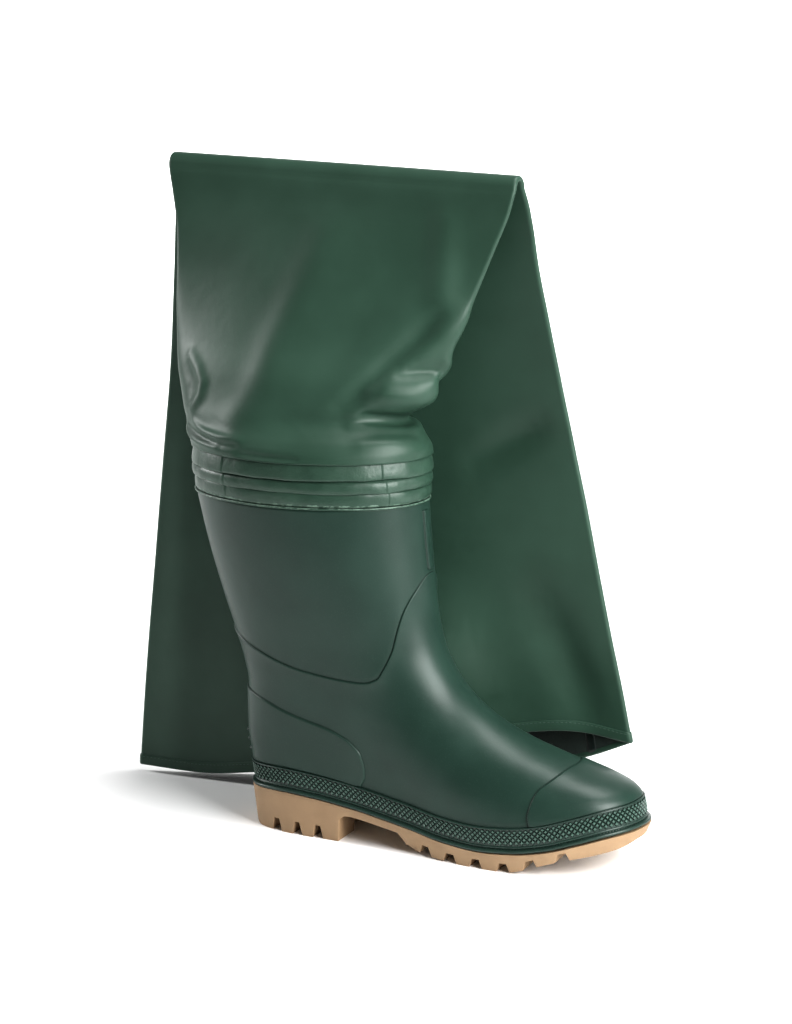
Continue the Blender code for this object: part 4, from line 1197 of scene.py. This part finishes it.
def cuff_cloth():
    """The same cloth over the pleats, glossier where it is stretched, with ragged glue along the collar."""
    finish = Finish("cuff_cloth")
    where = finish.where()
    cloud = finish.noise(where, 22.0, 3.0)
    pucker = finish.noise(where, 6.0, 3.0, 0.6)
    speck = finish.noise(where, 0.9, 3.0, 0.6)
    drip = finish.noise(where, 4.5, 4.0, 0.65)
    glue = finish.ramp(drip * finish.mark("glue"), 0.42, 0.52)
    colour = finish.mix(finish.ramp(cloud, 0.3, 0.7), (0.028, 0.064, 0.044), (0.040, 0.082, 0.058))
    colour = finish.mix(glue * 0.7, colour, (0.16, 0.24, 0.19))
    roughness = 0.30 + 0.12 * cloud + 0.08 * speck
    broad = finish.bump(pucker, 0.9, 0.45)
    normal = finish.bump(weave_height(finish, where) + glue * 2.0, 0.08, 0.6, broad)
    return finish.set(Base_Color=colour, Roughness=roughness, Normal=normal)


def lining_cloth():
    """The dark knitted back of the cloth, seen in the mouth."""
    tones = (0.012, 0.022, 0.018), (0.020, 0.034, 0.028)
    knit = (0.8, 2.0, 0.6, (1.0, 1.0, 0.4))
    return two_toned("lining_cloth", tones, (30.0, 2.0), knit, (0.7, 0.2), (0.15, 0.7))


def tape_film():
    tones = (0.006, 0.012, 0.010), (0.010, 0.019, 0.016)
    return two_toned("tape_film", tones, (8.0, 2.0), (8.0, 2.0), (0.35, 0.1))


def stitch_thread():
    tones = (0.040, 0.085, 0.062), (0.085, 0.140, 0.110)
    return two_toned("stitch_thread", tones, (0.5, 2.0), (0.5, 2.0), (0.6, 0.1))


def insole_foam():
    """Grey foam with a brushed cloth face."""
    tones = (0.16, 0.165, 0.15), (0.23, 0.23, 0.21)
    return two_toned("insole_foam", tones, (15.0, 2.0), (0.7, 3.0, 0.7), (0.85, 0.1), (0.3, 0.8))


# The studio.


TOWARD_CAMERA = (0.415, -0.91, 0.0)


def pale_floor():
    """A pale floor that curves up into a wall far behind, and is dark close to the camera."""
    finish = Finish("pale_floor")
    where = finish.where()
    grain = finish.noise(where, 40.0, 2.0)
    colour = finish.mix(grain, (0.92, 0.92, 0.92), (0.94, 0.94, 0.94))
    toward = {0: where, 1: TOWARD_CAMERA}
    nearer = finish.node("ShaderNodeVectorMath", {"operation": "DOT_PRODUCT"}, toward, output=1)
    colour = finish.mix(finish.ramp(nearer, 0.40, 0.85), colour, (0.10, 0.10, 0.10))
    material = finish.set(Base_Color=colour, Roughness=0.9, Specular_IOR_Level=0.1)
    width, front, back, bend, wall = 9.0, -4.5, 5.5, 1.6, 5.0
    bm = bmesh.new()
    bmesh.ops.create_grid(bm, x_segments=2, y_segments=30, size=1.0)
    for vert in bm.verts:
        share = (vert.co.y + 1) / 2
        run = share * (back - front + bend * math.pi / 2 + wall)
        past = run - (back - front)
        angle = min(max(past, 0.0) / bend, math.pi / 2)
        climb = max(0.0, past - bend * math.pi / 2)
        y = min(front + run, back) + bend * math.sin(angle)
        vert.co = (vert.co.x * width, y, bend * (1 - math.cos(angle)) + climb)
    mesh = bpy.data.meshes.new("pale_floor")
    bm.to_mesh(mesh)
    bm.free()
    mesh.shade_smooth()
    mesh.materials.append(material)
    add_object("pale_floor", mesh)


SOFT_BOXES = table(
    "name place target width height power",
    ("box_left", (-1.75, -0.1, 0.95), (0, 0, 0.36), 0.3, 1, 29),
    ("box_right", (1.52, -0.52, 0.85), (0.15, 0, 0.2), 0.9, 1.1, 57),
    ("box_over", (0.75, 0.35, 2.4), (0.15, 0.1, 0), 1.3, 1.2, 52),
    ("box_wall", (-2.4, 2.6, 3.6), (-3, 6.4, 0.9), 3, 1, 620),
)


def add_object(name, data):
    """Links a new object with a name and data to the scene."""
    made = bpy.data.objects.new(name, data)
    bpy.context.scene.collection.objects.link(made)
    return made


def aim(thing, place, way):
    """Puts a lamp or the camera in its place, facing a way."""
    thing.location = place
    thing.rotation_euler = way.to_track_quat("-Z", "Y").to_euler()


def soft_light():
    """Four soft boxes and a faint even light, of which the last box lights the wall."""
    scene = bpy.context.scene
    for box in SOFT_BOXES:
        lamp = bpy.data.lights.new(box.name, "AREA")
        lamp.shape = "RECTANGLE"
        lamp.size = box.width
        lamp.size_y = box.height
        lamp.energy = box.power
        aim(add_object(box.name, lamp), box.place, Vector(box.target) - Vector(box.place))
    scene.world = bpy.data.worlds.new("studio")
    scene.world.use_nodes = True
    backdrop = scene.world.node_tree.nodes["Background"]
    backdrop.inputs["Color"].default_value = (1.0, 1.0, 1.0, 1.0)
    backdrop.inputs["Strength"].default_value = 0.16
    scene.view_settings.view_transform = "Standard"
    scene.view_settings.gamma = 0.8


def photo_camera():
    """The camera, which stands where the photograph was taken from."""
    azimuth, elevation = math.radians(CAMERA_AZIMUTH), math.radians(CAMERA_ELEVATION)
    level = math.cos(elevation)
    back = Vector((math.sin(azimuth) * level, -math.cos(azimuth) * level, math.sin(elevation)))
    lens = bpy.data.cameras.new("photo_camera")
    lens.sensor_fit = "VERTICAL"
    lens.sensor_height = SENSOR
    lens.lens = CAMERA_LENS
    camera = add_object("photo_camera", lens)
    aim(camera, CAMERA_TARGET + back * CAMERA_DISTANCE, -back)
    bpy.context.scene.camera = camera


photo_camera()
soft_light()
pale_floor()

rubber = boot_rubber()
for moulded in (moulded_boot, heel_counter_panel, toe_cap_panel, spur_ribs, shin_strip):
    moulded(rubber)
band = band_rubber()
foxing(band)
foxing_studs(stud_rubber())
welt_ticks(band)
lugged_sole(tan_rubber())

glued_cloth = cuff_cloth()
collar_edge(glued_cloth)
cuff = gathered_cuff(glued_cloth)
cloth = coated_cloth()
shaft = thigh_shaft(cloth, lining_cloth())
binding = mouth_binding(cloth)
stitches = hem_stitches(stitch_thread())
tape = seam_tape(tape_film())

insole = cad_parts["insole"]
insole.data.materials.clear()
insole.data.materials.append(insole_foam())
